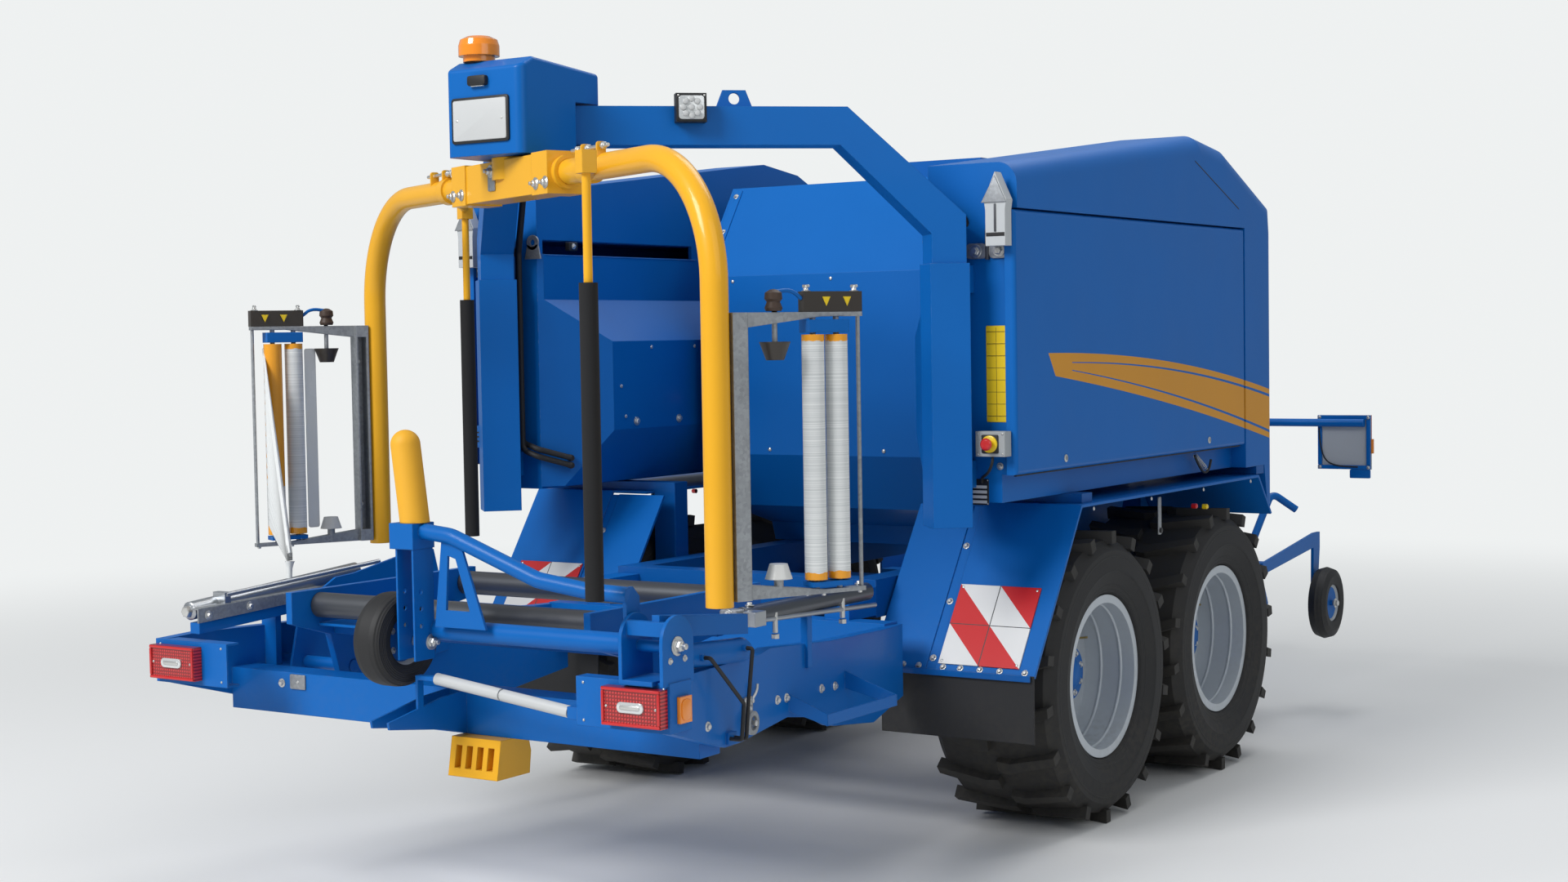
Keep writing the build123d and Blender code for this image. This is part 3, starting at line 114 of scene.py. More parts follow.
BLUE = Finish("blue_paint", Kind.PAINT, (0.001, 0.115, 0.420), 0.42, coat=0.07, grain=0.04, waves=0.35)
# Darker copy of the blue paint: painted shade on the main frame, the bogie beams, the strips over the
# mudflaps and the louvre slats
BLUE_SHADED = Finish("blue_paint_shaded", Kind.PAINT, (0.001, 0.085, 0.320), 0.42, coat=0.08, grain=0.06, dust=0.2)
YELLOW = Finish(
    "yellow_paint", Kind.PAINT, (0.780, 0.390, 0.018), 0.34, coat=0.3, grain=0.04, dust=0.03, wear=0.08
)
PAD = Finish(
    "yellow_foam",
    Kind.PLASTIC,
    (0.760, 0.380, 0.018),
    0.58,
    grain=0.25,
    grain_size=0.004,
    dust=0.03,
    wear=0.02,
)
STEEL = Finish("bright_steel", Kind.METAL, (0.420, 0.440, 0.460), 0.30, metallic=0.85, grain=0.05, dust=0.06)
SILVER = Finish("silver_lacquer", Kind.PAINT, (0.520, 0.560, 0.600), 0.34, metallic=0.30, coat=0.1, dust=0.22)
TYRE = Finish(
    "tyre_rubber",
    Kind.RUBBER,
    (0.0115, 0.0115, 0.0125),
    0.74,
    grain=0.35,
    grain_size=0.006,
    dust=0.16,
    wear=0.06,
)
RUBBER = Finish(
    "black_rubber", Kind.RUBBER, (0.013, 0.013, 0.014), 0.62, grain=0.2, grain_size=0.004, wear=0.05
)
FOAM = Finish(
    "black_foam", Kind.RUBBER, (0.008, 0.008, 0.009), 0.88, grain=0.5, grain_size=0.003, dust=0.02, wear=0.0
)
BLACK = Finish(
    "black_plastic", Kind.PLASTIC, (0.012, 0.012, 0.013), 0.42, grain=0.15, grain_size=0.003, wear=0.05
)
DARK = Finish("dark_steel", Kind.METAL, (0.085, 0.090, 0.100), 0.40, metallic=0.6, grain=0.1, dust=0.2)
GALVANISED = Finish(
    "galvanised", Kind.METAL, (0.330, 0.345, 0.360), 0.44, metallic=0.75, grain=0.08, grain_size=0.02
)
ZINC = Finish(
    "zinc_bolts", Kind.METAL, (0.620, 0.620, 0.600), 0.32, metallic=0.85, grain=0.05, dust=0.04, wear=0.05
)
RED = Finish(
    "red_plastic", Kind.PLASTIC, (0.520, 0.010, 0.012), 0.30, coat=0.4, grain=0.05, dust=0.02, wear=0.04
)
AMBER = Finish(
    "amber_lens", Kind.PLASTIC, (0.860, 0.250, 0.010), 0.16, coat=0.8, grain=0.1, dust=0.02, wear=0.0
)
WHITE = Finish(
    "white_plastic", Kind.PLASTIC, (0.520, 0.530, 0.530), 0.38, coat=0.1, grain=0.05, dust=0.05, wear=0.04
)
LABEL = Finish(
    "blank_label", Kind.PLASTIC, (0.800, 0.560, 0.010), 0.36, coat=0.2, grain=0.05, dust=0.03, wear=0.10
)
GREY = Finish("grey_plastic", Kind.PLASTIC, (0.330, 0.350, 0.360), 0.46, grain=0.1, grain_size=0.003)
BROWN = Finish("brown_rubber", Kind.RUBBER, (0.050, 0.028, 0.018), 0.55, grain=0.2, grain_size=0.004)
BRASS = Finish("brass_fitting", Kind.METAL, (0.560, 0.400, 0.150), 0.35, metallic=0.9, grain=0.05)
FILM = Finish(
    "stretch_film", Kind.PLASTIC, (0.700, 0.715, 0.710), 0.26, coat=0.4, grain=0.1, dust=0.02, wear=0.0
)
GLASS = Finish(
    "clear_lens",
    Kind.PLASTIC,
    (0.620, 0.640, 0.640),
    0.10,
    metallic=0.35,
    coat=0.9,
    grain=0.2,
    grain_size=0.008,
    dust=0.0,
    wear=0.0,
)


def station(y: float) -> float:
    """Frame's y of a distance measured from the tandem's middle."""
    return TANDEM_Y + y


def spot(x: float, y: float, z: float) -> Point:
    """Point with its y measured from the tandem's middle."""
    return (x, station(y), z)


def facing(at: Point, normal: Point, up: Point = UP) -> Matrix:
    """Place whose z looks along a normal and whose y runs up the surface.

    Args:
        at: Origin.
        normal: Direction out of the surface.
        up: Direction that y follows as closely as it can.

    Returns:
        The placement matrix.
    """
    z = Vector(normal).normalized()
    rough = Vector(up) if abs(z.dot(Vector(up).normalized())) < 0.98 else Vector(FORWARD)
    x = rough.cross(z).normalized()
    y = z.cross(x)
    turn = Matrix((x, y, z)).transposed().to_4x4()
    return Matrix.Translation(at) @ turn


def shifted(place: Matrix, x: float, y: float, z: float) -> Matrix:
    """Place moved along its own axes."""
    return place @ Matrix.Translation((x, y, z))


def rounded(width: float, height: float, radius: float = 0.0, steps: int = 4) -> Outline:
    """Rectangle about the origin with round corners.

    Args:
        width: Size along x.
        height: Size along y.
        radius: Corner radius.
        steps: Segments in a corner.

    Returns:
        The outline, anticlockwise.
    """
    w, h = width / 2, height / 2
    if radius <= 0:
        return [(-w, -h), (w, -h), (w, h), (-w, h)]
    points: Outline = []
    for cx, cy, start in ((w, -h, -90), (w, h, 0), (-w, h, 90), (-w, -h, 180)):
        mid = (cx - math.copysign(radius, cx), cy - math.copysign(radius, cy))
        for step in range(steps + 1):
            a = math.radians(start + 90 * step / steps)
            points.append((mid[0] + radius * math.cos(a), mid[1] + radius * math.sin(a)))
    return points


def ring(radius: float, sides: int = 24, start: float = 0.0) -> Outline:
    """Regular outline about the origin."""
    return [
        (radius * math.cos(start + math.tau * i / sides), radius * math.sin(start + math.tau * i / sides))
        for i in range(sides)
    ]


class NodeTree:
    """Small helper that adds nodes to a tree and links them."""

    def __init__(self, tree: bpy.types.NodeTree) -> None:
        """Start with an empty tree.

        Args:
            tree: Tree to fill, which is emptied first.
        """
        self.tree = tree
        self.nodes = tree.nodes
        self.nodes.clear()

    def add(self, kind: str, **settings: object) -> bpy.types.Node:
        """Add a node.

        Args:
            kind: Node type name.
            **settings: Attributes to set on the node.

        Returns:
            The new node.
        """
        node = self.nodes.new(kind)
        for key, value in settings.items():
            setattr(node, key, value)
        return node

    def link(self, source: object, target: Socket) -> None:
        """Link an output socket, or set a constant, on an input socket.

        Args:
            source: Output socket or plain value.
            target: Input socket.
        """
        if isinstance(source, Socket):
            self.tree.links.new(source, target)
        elif isinstance(source, (tuple, list)) and target.type == "RGBA" and len(source) == 3:
            target.default_value = (*source, 1.0)
        else:
            target.default_value = source

    def math(self, operation: str, *values: object, clamp: bool = False) -> Socket:
        """Add a math node.

        Args:
            operation: Math operation.
            *values: Sockets or numbers.
            clamp: Clamp the result to 0..1.

        Returns:
            The value socket.
        """
        node = self.add("ShaderNodeMath", operation=operation, use_clamp=clamp)
        for value, socket in zip(values, node.inputs):
            self.link(value, socket)
        return node.outputs[0]

    def total(self, *values: object) -> Socket:
        """Sum of several values.

        Args:
            *values: Sockets or numbers.

        Returns:
            The sum's socket.
        """
        result = values[0]
        for value in values[1:]:
            result = self.math("ADD", result, value)
        return result

    def both(self, *values: object) -> Socket:
        """Product of several masks.

        Args:
            *values: Sockets or numbers.

        Returns:
            The product's socket.
        """
        result = values[0]
        for value in values[1:]:
            result = self.math("MULTIPLY", result, value)
        return result

    def mix(self, share: object, low: object, high: object) -> Socket:
        """Mix two colours.

        Args:
            share: Share of the second colour.
            low: First colour.
            high: Second colour.

        Returns:
            The mixed colour socket.
        """
        node = self.add("ShaderNodeMix", data_type="RGBA")
        self.link(share, node.inputs[0])
        self.link(low, node.inputs[6])
        self.link(high, node.inputs[7])
        return node.outputs[2]

    def blend(self, share: object, first: bpy.types.Node, second: bpy.types.Node) -> Socket:
        """Mix two shaders.

        Args:
            share: Share of the second shader.
            first: Node of the first shader.
            second: Node of the second shader.

        Returns:
            The mixed shader's socket.
        """
        node = self.add("ShaderNodeMixShader")
        for value, socket in zip((share, first.outputs[0], second.outputs[0]), node.inputs):
            self.link(value, socket)
        return node.outputs[0]

    def noise(self, vector: object, scale: object, detail: float = 4.0) -> Socket:
        """Add a noise texture.

        Args:
            vector: Coordinate socket.
            scale: Features per metre.
            detail: Octaves.

        Returns:
            The noise value socket.
        """
        node = self.add("ShaderNodeTexNoise")
        self.link(vector, node.inputs["Vector"])
        self.link(scale, node.inputs["Scale"])
        node.inputs["Detail"].default_value = detail
        return node.outputs["Fac"]

    def ramp(self, value: object, low: object, high: object) -> Socket:
        """Map a value between two limits to 0..1, smoothly.

        Args:
            value: Value socket.
            low: Value that gives 0.
            high: Value that gives 1.

        Returns:
            The mapped value socket.
        """
        node = self.add("ShaderNodeMapRange", interpolation_type="SMOOTHSTEP")
        self.link(value, node.inputs["Value"])
        self.link(low, node.inputs["From Min"])
        self.link(high, node.inputs["From Max"])
        return node.outputs["Result"]

    def above(self, value: object, limit: object) -> Socket:
        """Mask of 1 where a value lies over a limit."""
        return self.math("GREATER_THAN", value, limit)

    def between(self, value: object, low: float, high: float) -> Socket:
        """Mask of 1 where a value lies between two limits."""
        return self.both(self.above(value, low), self.math("LESS_THAN", value, high))

    def curve(self, value: Socket, square: float, slope: float, base: float) -> Socket:
        """Value of a quadratic curve."""
        inner = self.math("MULTIPLY_ADD", value, square, slope)
        return self.math("MULTIPLY_ADD", value, inner, base)

    def place(self) -> tuple[Socket, Socket, Socket]:
        """Place on the object at rest, with y measured from the tandem's middle.

        Returns:
            The x, y and z sockets.
        """
        split = self.add("ShaderNodeSeparateXYZ")
        self.link(self.add("ShaderNodeTexCoord").outputs["Object"], split.inputs[0])
        x, y, z = split.outputs
        return x, self.math("SUBTRACT", y, TANDEM_Y), z

    def reach(self, y: object, z: object, centre: tuple[float, float]) -> Socket:
        """Distance from an axis along x, or along y.

        Args:
            y: Value across the axis.
            z: Value along z.
            centre: The axis's place across and its z.

        Returns:
            The distance socket.
        """
        dy = self.math("SUBTRACT", y, centre[0])
        dz = self.math("SUBTRACT", z, centre[1])
        return self.math("SQRT", self.total(self.both(dy, dy), self.both(dz, dz)))


class SharedGroups:
    """Node groups that several materials share."""

    bare: Colour = (0.36, 0.39, 0.42)
    dust: Colour = (0.20, 0.17, 0.12)

    def __init__(self) -> None:
        """Build every group once."""
        self.weather = self._weather()
        self.spangle = self._spangle()

    @staticmethod
    def _new(name: str, inputs: tuple, outputs: tuple) -> NodeTree:
        """Make an empty group with named sockets.

        Args:
            name: Group name.
            inputs: Rows of socket name, kind and default value.
            outputs: Rows of socket name and kind.

        Returns:
            The helper for the group's tree.
        """
        group = bpy.data.node_groups.new(name, "ShaderNodeTree")
        for title, kind, value in inputs:
            group.interface.new_socket(title, in_out="INPUT", socket_type=kind).default_value = value
        for title, kind in outputs:
            group.interface.new_socket(title, in_out="OUTPUT", socket_type=kind)
        return NodeTree(group)

    def _spangle(self) -> bpy.types.NodeTree:
        """Crystal pattern of hot-dipped zinc, as a tone and a roughness.

        Returns:
            The node group.
        """
        t = self._new(
            "spangle",
            (("Colour", "NodeSocketColor", (0.4, 0.4, 0.4, 1)), ("Roughness", "NodeSocketFloat", 0.4)),
            (("Colour", "NodeSocketColor"), ("Roughness", "NodeSocketFloat")),
        )
        start, end = t.add("NodeGroupInput"), t.add("NodeGroupOutput")
        place = t.add("ShaderNodeTexCoord").outputs["Object"]
        cells = t.add("ShaderNodeTexVoronoi")
        t.link(place, cells.inputs["Vector"])
        cells.inputs["Scale"].default_value = 90.0
        split = t.add("ShaderNodeSeparateXYZ")
        t.link(cells.outputs["Color"], split.inputs[0])
        cloud = t.noise(place, 9.0, 5.0)
        tone = t.total(0.72, t.both(split.outputs[0], 0.22), t.both(cloud, 0.36))
        shade = t.add("ShaderNodeHueSaturation")
        t.link(start.outputs["Colour"], shade.inputs["Color"])
        t.link(tone, shade.inputs["Value"])
        t.link(shade.outputs[0], end.inputs["Colour"])
        t.link(t.total(start.outputs["Roughness"], t.both(split.outputs[1], 0.14)), end.inputs["Roughness"])
        return t.tree

    def _weather(self) -> bpy.types.NodeTree:
        """Edge wear, dust, grain, soft waves and tone that change a surface.

        Returns:
            The node group.
        """
        t = self._new(
            "weather",
            (
                ("Colour", "NodeSocketColor", (0.5, 0.5, 0.5, 1)),
                ("Roughness", "NodeSocketFloat", 0.4),
                ("Grain", "NodeSocketFloat", 0.1),
                ("Grain Scale", "NodeSocketFloat", 100.0),
                ("Dust", "NodeSocketFloat", 0.2),
                ("Wear", "NodeSocketFloat", 0.2),
                ("Waves", "NodeSocketFloat", 0.0),
                ("Relief", "NodeSocketFloat", 0.0),
            ),
            (("Colour", "NodeSocketColor"), ("Roughness", "NodeSocketFloat"), ("Normal", "NodeSocketVector")),
        )
        start, end = t.add("NodeGroupInput"), t.add("NodeGroupOutput")
        place = t.add("ShaderNodeTexCoord").outputs["Object"]
        geometry = t.add("ShaderNodeNewGeometry")
        split, upward = t.add("ShaderNodeSeparateXYZ"), t.add("ShaderNodeSeparateXYZ")
        t.link(place, split.inputs[0])
        t.link(geometry.outputs["Normal"], upward.inputs[0])
        patches, fine = t.noise(place, 2.3, 6.0), t.noise(place, 38.0, 8.0)
        low = t.both(t.ramp(split.outputs["Z"], 1.3, 0.2), 0.8)
        top = t.both(t.ramp(upward.outputs["Z"], 0.55, 1.0), 0.30)
        settle = t.both(t.total(low, top), t.ramp(patches, 0.3, 0.75), t.ramp(fine, 0.3, 0.7))
        dust = t.math("MULTIPLY", settle, start.outputs["Dust"], clamp=True)
        bevel = t.add("ShaderNodeBevel", samples=4)
        bevel.inputs["Radius"].default_value = 0.005
        turn = t.add("ShaderNodeVectorMath", operation="DOT_PRODUCT")
        t.link(bevel.outputs[0], turn.inputs[0])
        t.link(geometry.outputs["Normal"], turn.inputs[1])
        edge = t.both(t.ramp(turn.outputs["Value"], 0.985, 0.80), t.ramp(fine, 0.45, 0.75))
        edge = t.math("MULTIPLY", edge, start.outputs["Wear"], clamp=True)
        tone = t.add("ShaderNodeHueSaturation")
        t.link(start.outputs["Colour"], tone.inputs["Color"])
        t.link(t.total(0.93, t.both(patches, 0.14)), tone.inputs["Value"])
        colour = t.mix(edge, tone.outputs[0], self.bare)
        colour = t.mix(dust, colour, self.dust)
        rough = t.total(start.outputs["Roughness"], t.both(dust, 0.4), t.both(edge, 0.15))
        rough = t.math("ADD", rough, t.both(t.math("SUBTRACT", patches, 0.5), 0.12), clamp=True)
        grain = t.both(t.noise(place, start.outputs["Grain Scale"], 3.0), start.outputs["Grain"])
        waves = t.both(t.noise(place, 3.1, 1.0), start.outputs["Waves"], 9.0)
        bump = t.add("ShaderNodeBump")
        bump.inputs["Distance"].default_value = 0.001
        t.link(t.total(grain, waves, start.outputs["Relief"]), bump.inputs["Height"])
        t.link(bevel.outputs[0], bump.inputs["Normal"])
        t.link(colour, end.inputs["Colour"])
        t.link(rough, end.inputs["Roughness"])
        t.link(bump.outputs[0], end.inputs["Normal"])
        return t.tree


class MaterialLibrary:
    """Builds each finish once and hands it out."""

    def __init__(self) -> None:
        """Start with the shared groups and no material."""
        self.groups = SharedGroups()
        self.made: dict[str, bpy.types.Material] = {}

    def get(self, finish: Finish) -> bpy.types.Material:
        """Material of a finish.

        Args:
            finish: The finish.

        Returns:
            Its material.
        """
        if finish.name not in self.made:
            t = self.start(finish.name)
            self.shade(t, finish, finish.colour)
        return self.made[finish.name]

    def start(self, name: str) -> NodeTree:
        """Start a material with an empty tree.

        Args:
            name: Material name.

        Returns:
            The helper for its tree.
        """
        material = bpy.data.materials.new(name)
        material.use_nodes = True
        self.made[name] = material
        return NodeTree(material.node_tree)

    def shade(self, t: NodeTree, finish: Finish, colour: object, relief: object = 0.0) -> None:
        """Add weathering and the surface shader.

        Args:
            t: Tree of the material.
            finish: Finish to follow.
            colour: Colour socket or value.
            relief: Height of an own relief in millimetres.
        """
        roughness: object = finish.roughness
        if finish is GALVANISED:
            zinc = t.add("ShaderNodeGroup", node_tree=self.groups.spangle)
            t.link(colour, zinc.inputs["Colour"])
            t.link(roughness, zinc.inputs["Roughness"])
            colour, roughness = zinc.outputs
        weather = t.add("ShaderNodeGroup", node_tree=self.groups.weather)
        settings = {
            "Colour": colour,
            "Roughness": roughness,
            "Grain": finish.grain,
            "Grain Scale": 1.0 / finish.grain_size,
            "Dust": finish.dust,
            "Wear": finish.wear,
            "Waves": finish.waves,
            "Relief": relief,
        }
        for title, value in settings.items():
            t.link(value, weather.inputs[title])
        shader = t.add("ShaderNodeBsdfPrincipled")
        surface = {
            "Base Color": weather.outputs["Colour"],
            "Roughness": weather.outputs["Roughness"],
            "Normal": weather.outputs["Normal"],
            "Metallic": finish.metallic,
            "Coat Weight": finish.coat,
            "Coat Roughness": COAT_ROUGHNESS,
            "Specular IOR Level": SPECULAR_PAINT if finish.kind is Kind.PAINT else SPECULAR_OTHER,
        }
        for title, value in surface.items():
            t.link(value, shader.inputs[title])
        t.link(shader.outputs[0], t.add("ShaderNodeOutputMaterial").inputs["Surface"])


class Mask:
    """A material whose colour changes with the place on one CAD node."""

    name: str = ""
    finish: Finish = BLUE

    def colour(self, t: NodeTree) -> Socket:
        """Colour over the surface."""
        raise NotImplementedError

    def relief(self, t: NodeTree) -> object:
        """Own relief in millimetres, none by default."""
        return 0.0

    def build(self, library: MaterialLibrary) -> bpy.types.Material:
        """Make the material.

        Args:
            library: Library that keeps it.

        Returns:
            The material.
        """
        if self.name not in library.made:
            t = library.start(self.name)
            library.shade(t, self.finish, self.colour(t), self.relief(t))
        return library.made[self.name]


@dataclass
class SweepStripe(Mask):
    """Gold sweep with two thin lines over the covers and the front columns."""

    name: str = "sweep_stripe"
    finish: Finish = BLUE
    skin: float = 1.412
    gold: Colour = (0.600, 0.270, 0.025)
    top: Point = (-0.0326, -0.0870, 1.9754)
    bottom: Point = (-0.0172, -0.1499, 1.7846)
    lines: tuple[Point, Point] = ((-0.0337, -0.0834, 1.9408), (-0.0231, -0.1503, 1.8284))
    start: tuple[float, float] = (-1.251, 2.034)
    lines_start: float = -1.03

    def colour(self, t: NodeTree) -> Socket:
        """Gold between two curves, with blue lines in it.

        Args:
            t: Tree of the material.

        Returns:
            The colour socket.
        """
        x, y, z = t.place()
        wide = t.above(t.math("ABSOLUTE", x), self.skin)
        under = t.math("LESS_THAN", z, t.curve(y, *self.top))
        over = t.above(z, t.curve(y, *self.bottom))
        slant = t.math("MULTIPLY_ADD", t.math("SUBTRACT", self.start[1], z), 0.667, self.start[0])
        gold = t.both(wide, under, over, t.above(y, slant))
        for line in self.lines:
            away = t.math("ABSOLUTE", t.math("SUBTRACT", z, t.curve(y, *line)))
            half = t.math("MULTIPLY_ADD", t.math("SUBTRACT", y, self.lines_start), 0.0021, 0.002)
            gap = t.both(t.math("LESS_THAN", away, half), t.above(y, self.lines_start))
            gold = t.both(gold, t.math("SUBTRACT", 1.0, gap))
        return t.mix(gold, BLUE.colour, self.gold)


@dataclass
class WarningBoard(Mask):
    """Red and white slanting bars on the four boards, with thin joints."""

    name: str = "warning_board"
    finish: Finish = WHITE
    rear_x: float = 1.005
    rear_size: float = 0.370
    foot: tuple[float, float] = SLOPE_FOOT
    slope: tuple[float, float] = SLOPE_WAY
    front: tuple[float, float, float] = (1.190, 1.330, 0.300)
    joint: float = 0.006
    white: Colour = (0.70, 0.70, 0.69)
    red: Colour = (0.56, 0.012, 0.014)
    gap: Colour = (0.05, 0.05, 0.05)
    back: Colour = (0.42, 0.44, 0.46)
    front_y: float = 2.630

    def _bars(self, t: NodeTree, u: Socket, v: Socket) -> Socket:
        """Mask of the red bars and colour of one board.

        Args:
            t: Tree of the material.
            u: Place across the board, 0 to 1.
            v: Place up the board, 0 to 1.

        Returns:
            The colour socket.
        """
        along = t.total(u, v)
        red = t.math("MAXIMUM", t.between(along, 0.5, 1.0), t.above(along, 1.5))
        joint = t.math(
            "MAXIMUM", t.between(u, 0.5 - self.joint, 0.5 + self.joint), t.between(v, 0.495, 0.505)
        )
        return t.mix(joint, t.mix(red, self.white, self.red), self.gap)

    def colour(self, t: NodeTree) -> Socket:
        """Bars on the rear boards and on the front face of the front ones.

        Args:
            t: Tree of the material.

        Returns:
            The colour socket.
        """
        x, y, z = t.place()
        wide = t.math("ABSOLUTE", x)
        u = t.math("DIVIDE", t.math("SUBTRACT", wide, self.rear_x), self.rear_size)
        run = t.total(
            t.both(t.math("SUBTRACT", y, self.foot[0]), self.slope[0]),
            t.both(t.math("SUBTRACT", z, self.foot[1]), self.slope[1]),
        )
        rear = self._bars(t, u, t.math("DIVIDE", t.math("SUBTRACT", run, 0.030), self.rear_size))
        side, base, size = self.front
        across = t.math("DIVIDE", t.math("SUBTRACT", wide, side), size)
        ahead = self._bars(t, across, t.math("DIVIDE", t.math("SUBTRACT", z, base), size))
        ahead = t.mix(t.above(y, self.front_y), self.back, ahead)
        return t.mix(t.above(y, 0.0), rear, ahead)


@dataclass
class FilmRoller(Mask):
    """Roller with white film between its two orange ends."""

    name: str = "film_roller"
    finish: Finish = FILM
    low: float = 1.335
    high: float = 2.100
    orange: Colour = (0.800, 0.330, 0.015)
    film: tuple[Colour, Colour] = ((0.56, 0.58, 0.58), (0.76, 0.77, 0.76))

    def colour(self, t: NodeTree) -> Socket:
        """White film in the middle, orange sleeve above and below.

        Args:
            t: Tree of the material.

        Returns:
            The colour socket.
        """
        z = t.place()[2]
        ragged = t.both(
            t.math("SUBTRACT", t.noise(t.add("ShaderNodeTexCoord").outputs["Object"], 30.0), 0.5), 0.02
        )
        film = t.between(t.total(z, ragged), self.low, self.high)
        wrap = t.noise(z, 160.0, 2.0)
        white = t.mix(t.ramp(wrap, 0.35, 0.7), *self.film)
        return t.mix(film, self.orange, white)


@dataclass
class BandedColours(Mask):
    """Two colours that meet at a level."""

    name: str = "banded"
    finish: Finish = BLACK
    level: float = 1.0
    lower: Colour = (0.6, 0.6, 0.6)
    upper: Colour = (0.01, 0.01, 0.01)

    def colour(self, t: NodeTree) -> Socket:
        """Lower colour under the level, upper colour over it."""
        return t.mix(t.above(t.place()[2], self.level), self.lower, self.upper)


@dataclass
class SmallWheel(Mask):
    """Rubber tread round a painted disc with a pale lip."""

    name: str = "small_wheel"
    finish: Finish = RUBBER
    axis: tuple[float, float] = (0.0, 0.0)
    disc: float = 0.078
    lip: float = 0.086
    disc_colour: Colour = BLUE.colour
    lip_colour: Colour = (0.42, 0.44, 0.45)

    def colour(self, t: NodeTree) -> Socket:
        """Disc, lip and tread by the distance from the axle.

        Args:
            t: Tree of the material.

        Returns:
            The colour socket.
        """
        _, y, z = t.place()
        away = t.reach(y, z, self.axis)
        outer = t.mix(t.above(away, self.lip), self.lip_colour, RUBBER.colour)
        return t.mix(t.above(away, self.disc), self.disc_colour, outer)

    def relief(self, t: NodeTree) -> Socket:
        """Fine rings on the tread's shoulder.

        Args:
            t: Tree of the material.

        Returns:
            The height socket.
        """
        _, y, z = t.place()
        away = t.reach(y, z, self.axis)
        return t.both(t.above(away, self.lip + 0.01), t.math("SINE", t.both(away, 900.0)), 0.4)


@dataclass
class RoadWheelPaint(Mask):
    """Silver barrel and disc with a blue hub in the middle."""

    name: str = "road_wheel"
    finish: Finish = SILVER
    axle: tuple[float, float] = ROAD_AXLE
    hub: float = 0.150

    def colour(self, t: NodeTree) -> Socket:
        """Blue inside the hub's radius.

        Args:
            t: Tree of the material.

        Returns:
            The colour socket.
        """
        _, y, z = t.place()
        away = t.reach(t.math("ABSOLUTE", y), z, self.axle)
        return t.mix(t.above(away, self.hub), BLUE.colour, SILVER.colour)


@dataclass
class TyreWall(Mask):
    """Tyre rubber with rings on its side and dust in the tread."""

    name: str = "tyre_wall"
    finish: Finish = TYRE
    axle: tuple[float, float] = ROAD_AXLE
    rings: tuple[float, ...] = (0.372, 0.395, 0.455, 0.520)
    wall: Colour = (0.018, 0.018, 0.019)
    tread: Colour = (0.032, 0.030, 0.027)

    def colour(self, t: NodeTree) -> Socket:
        """Black with a browner tread.

        Args:
            t: Tree of the material.

        Returns:
            The colour socket.
        """
        _, y, z = t.place()
        away = t.reach(t.math("ABSOLUTE", y), z, self.axle)
        return t.mix(t.ramp(away, 0.50, 0.64), self.wall, self.tread)

    def relief(self, t: NodeTree) -> Socket:
        """Raised rings round the rim.

        Args:
            t: Tree of the material.

        Returns:
            The height socket.
        """
        _, y, z = t.place()
        away = t.reach(t.math("ABSOLUTE", y), z, self.axle)
        marks = [t.ramp(t.math("ABSOLUTE", t.math("SUBTRACT", away, r)), 0.005, 0.002) for r in self.rings]
        return t.both(t.total(*marks), 2.0)


@dataclass
class LampGlass(Mask):
    """Red lens with rows of small prisms."""

    name: str = "rear_lamp_glass"
    finish: Finish = RED
    pitch: float = 0.012
    dark: Colour = (0.22, 0.004, 0.006)
    light: Colour = (0.60, 0.030, 0.030)

    def _dots(self, t: NodeTree) -> Socket:
        """Mask of the prisms in rows.

        Args:
            t: Tree of the material.

        Returns:
            The mask socket.
        """
        x, _, z = t.place()
        rows = t.math("ABSOLUTE", t.math("SINE", t.both(z, math.pi / self.pitch)))
        columns = t.math("ABSOLUTE", t.math("SINE", t.both(x, math.pi / self.pitch)))
        return t.ramp(t.both(rows, columns), 0.35, 0.85)

    def colour(self, t: NodeTree) -> Socket:
        """Dark red with lighter prisms."""
        return t.mix(self._dots(t), self.dark, self.light)

    def relief(self, t: NodeTree) -> Socket:
        """Height of the prisms."""
        return self._dots(t)


@dataclass
class FrameSteel(Mask):
    """Galvanised bars with black plastic over a level."""

    name: str = "film_frame_steel"
    finish: Finish = GALVANISED
    level: float = 2.1962
    black: Colour = (0.010, 0.010, 0.011)

    def colour(self, t: NodeTree) -> Socket:
        """Zinc under the level, black over it."""
        return t.mix(t.above(t.place()[2], self.level), GALVANISED.colour, self.black)


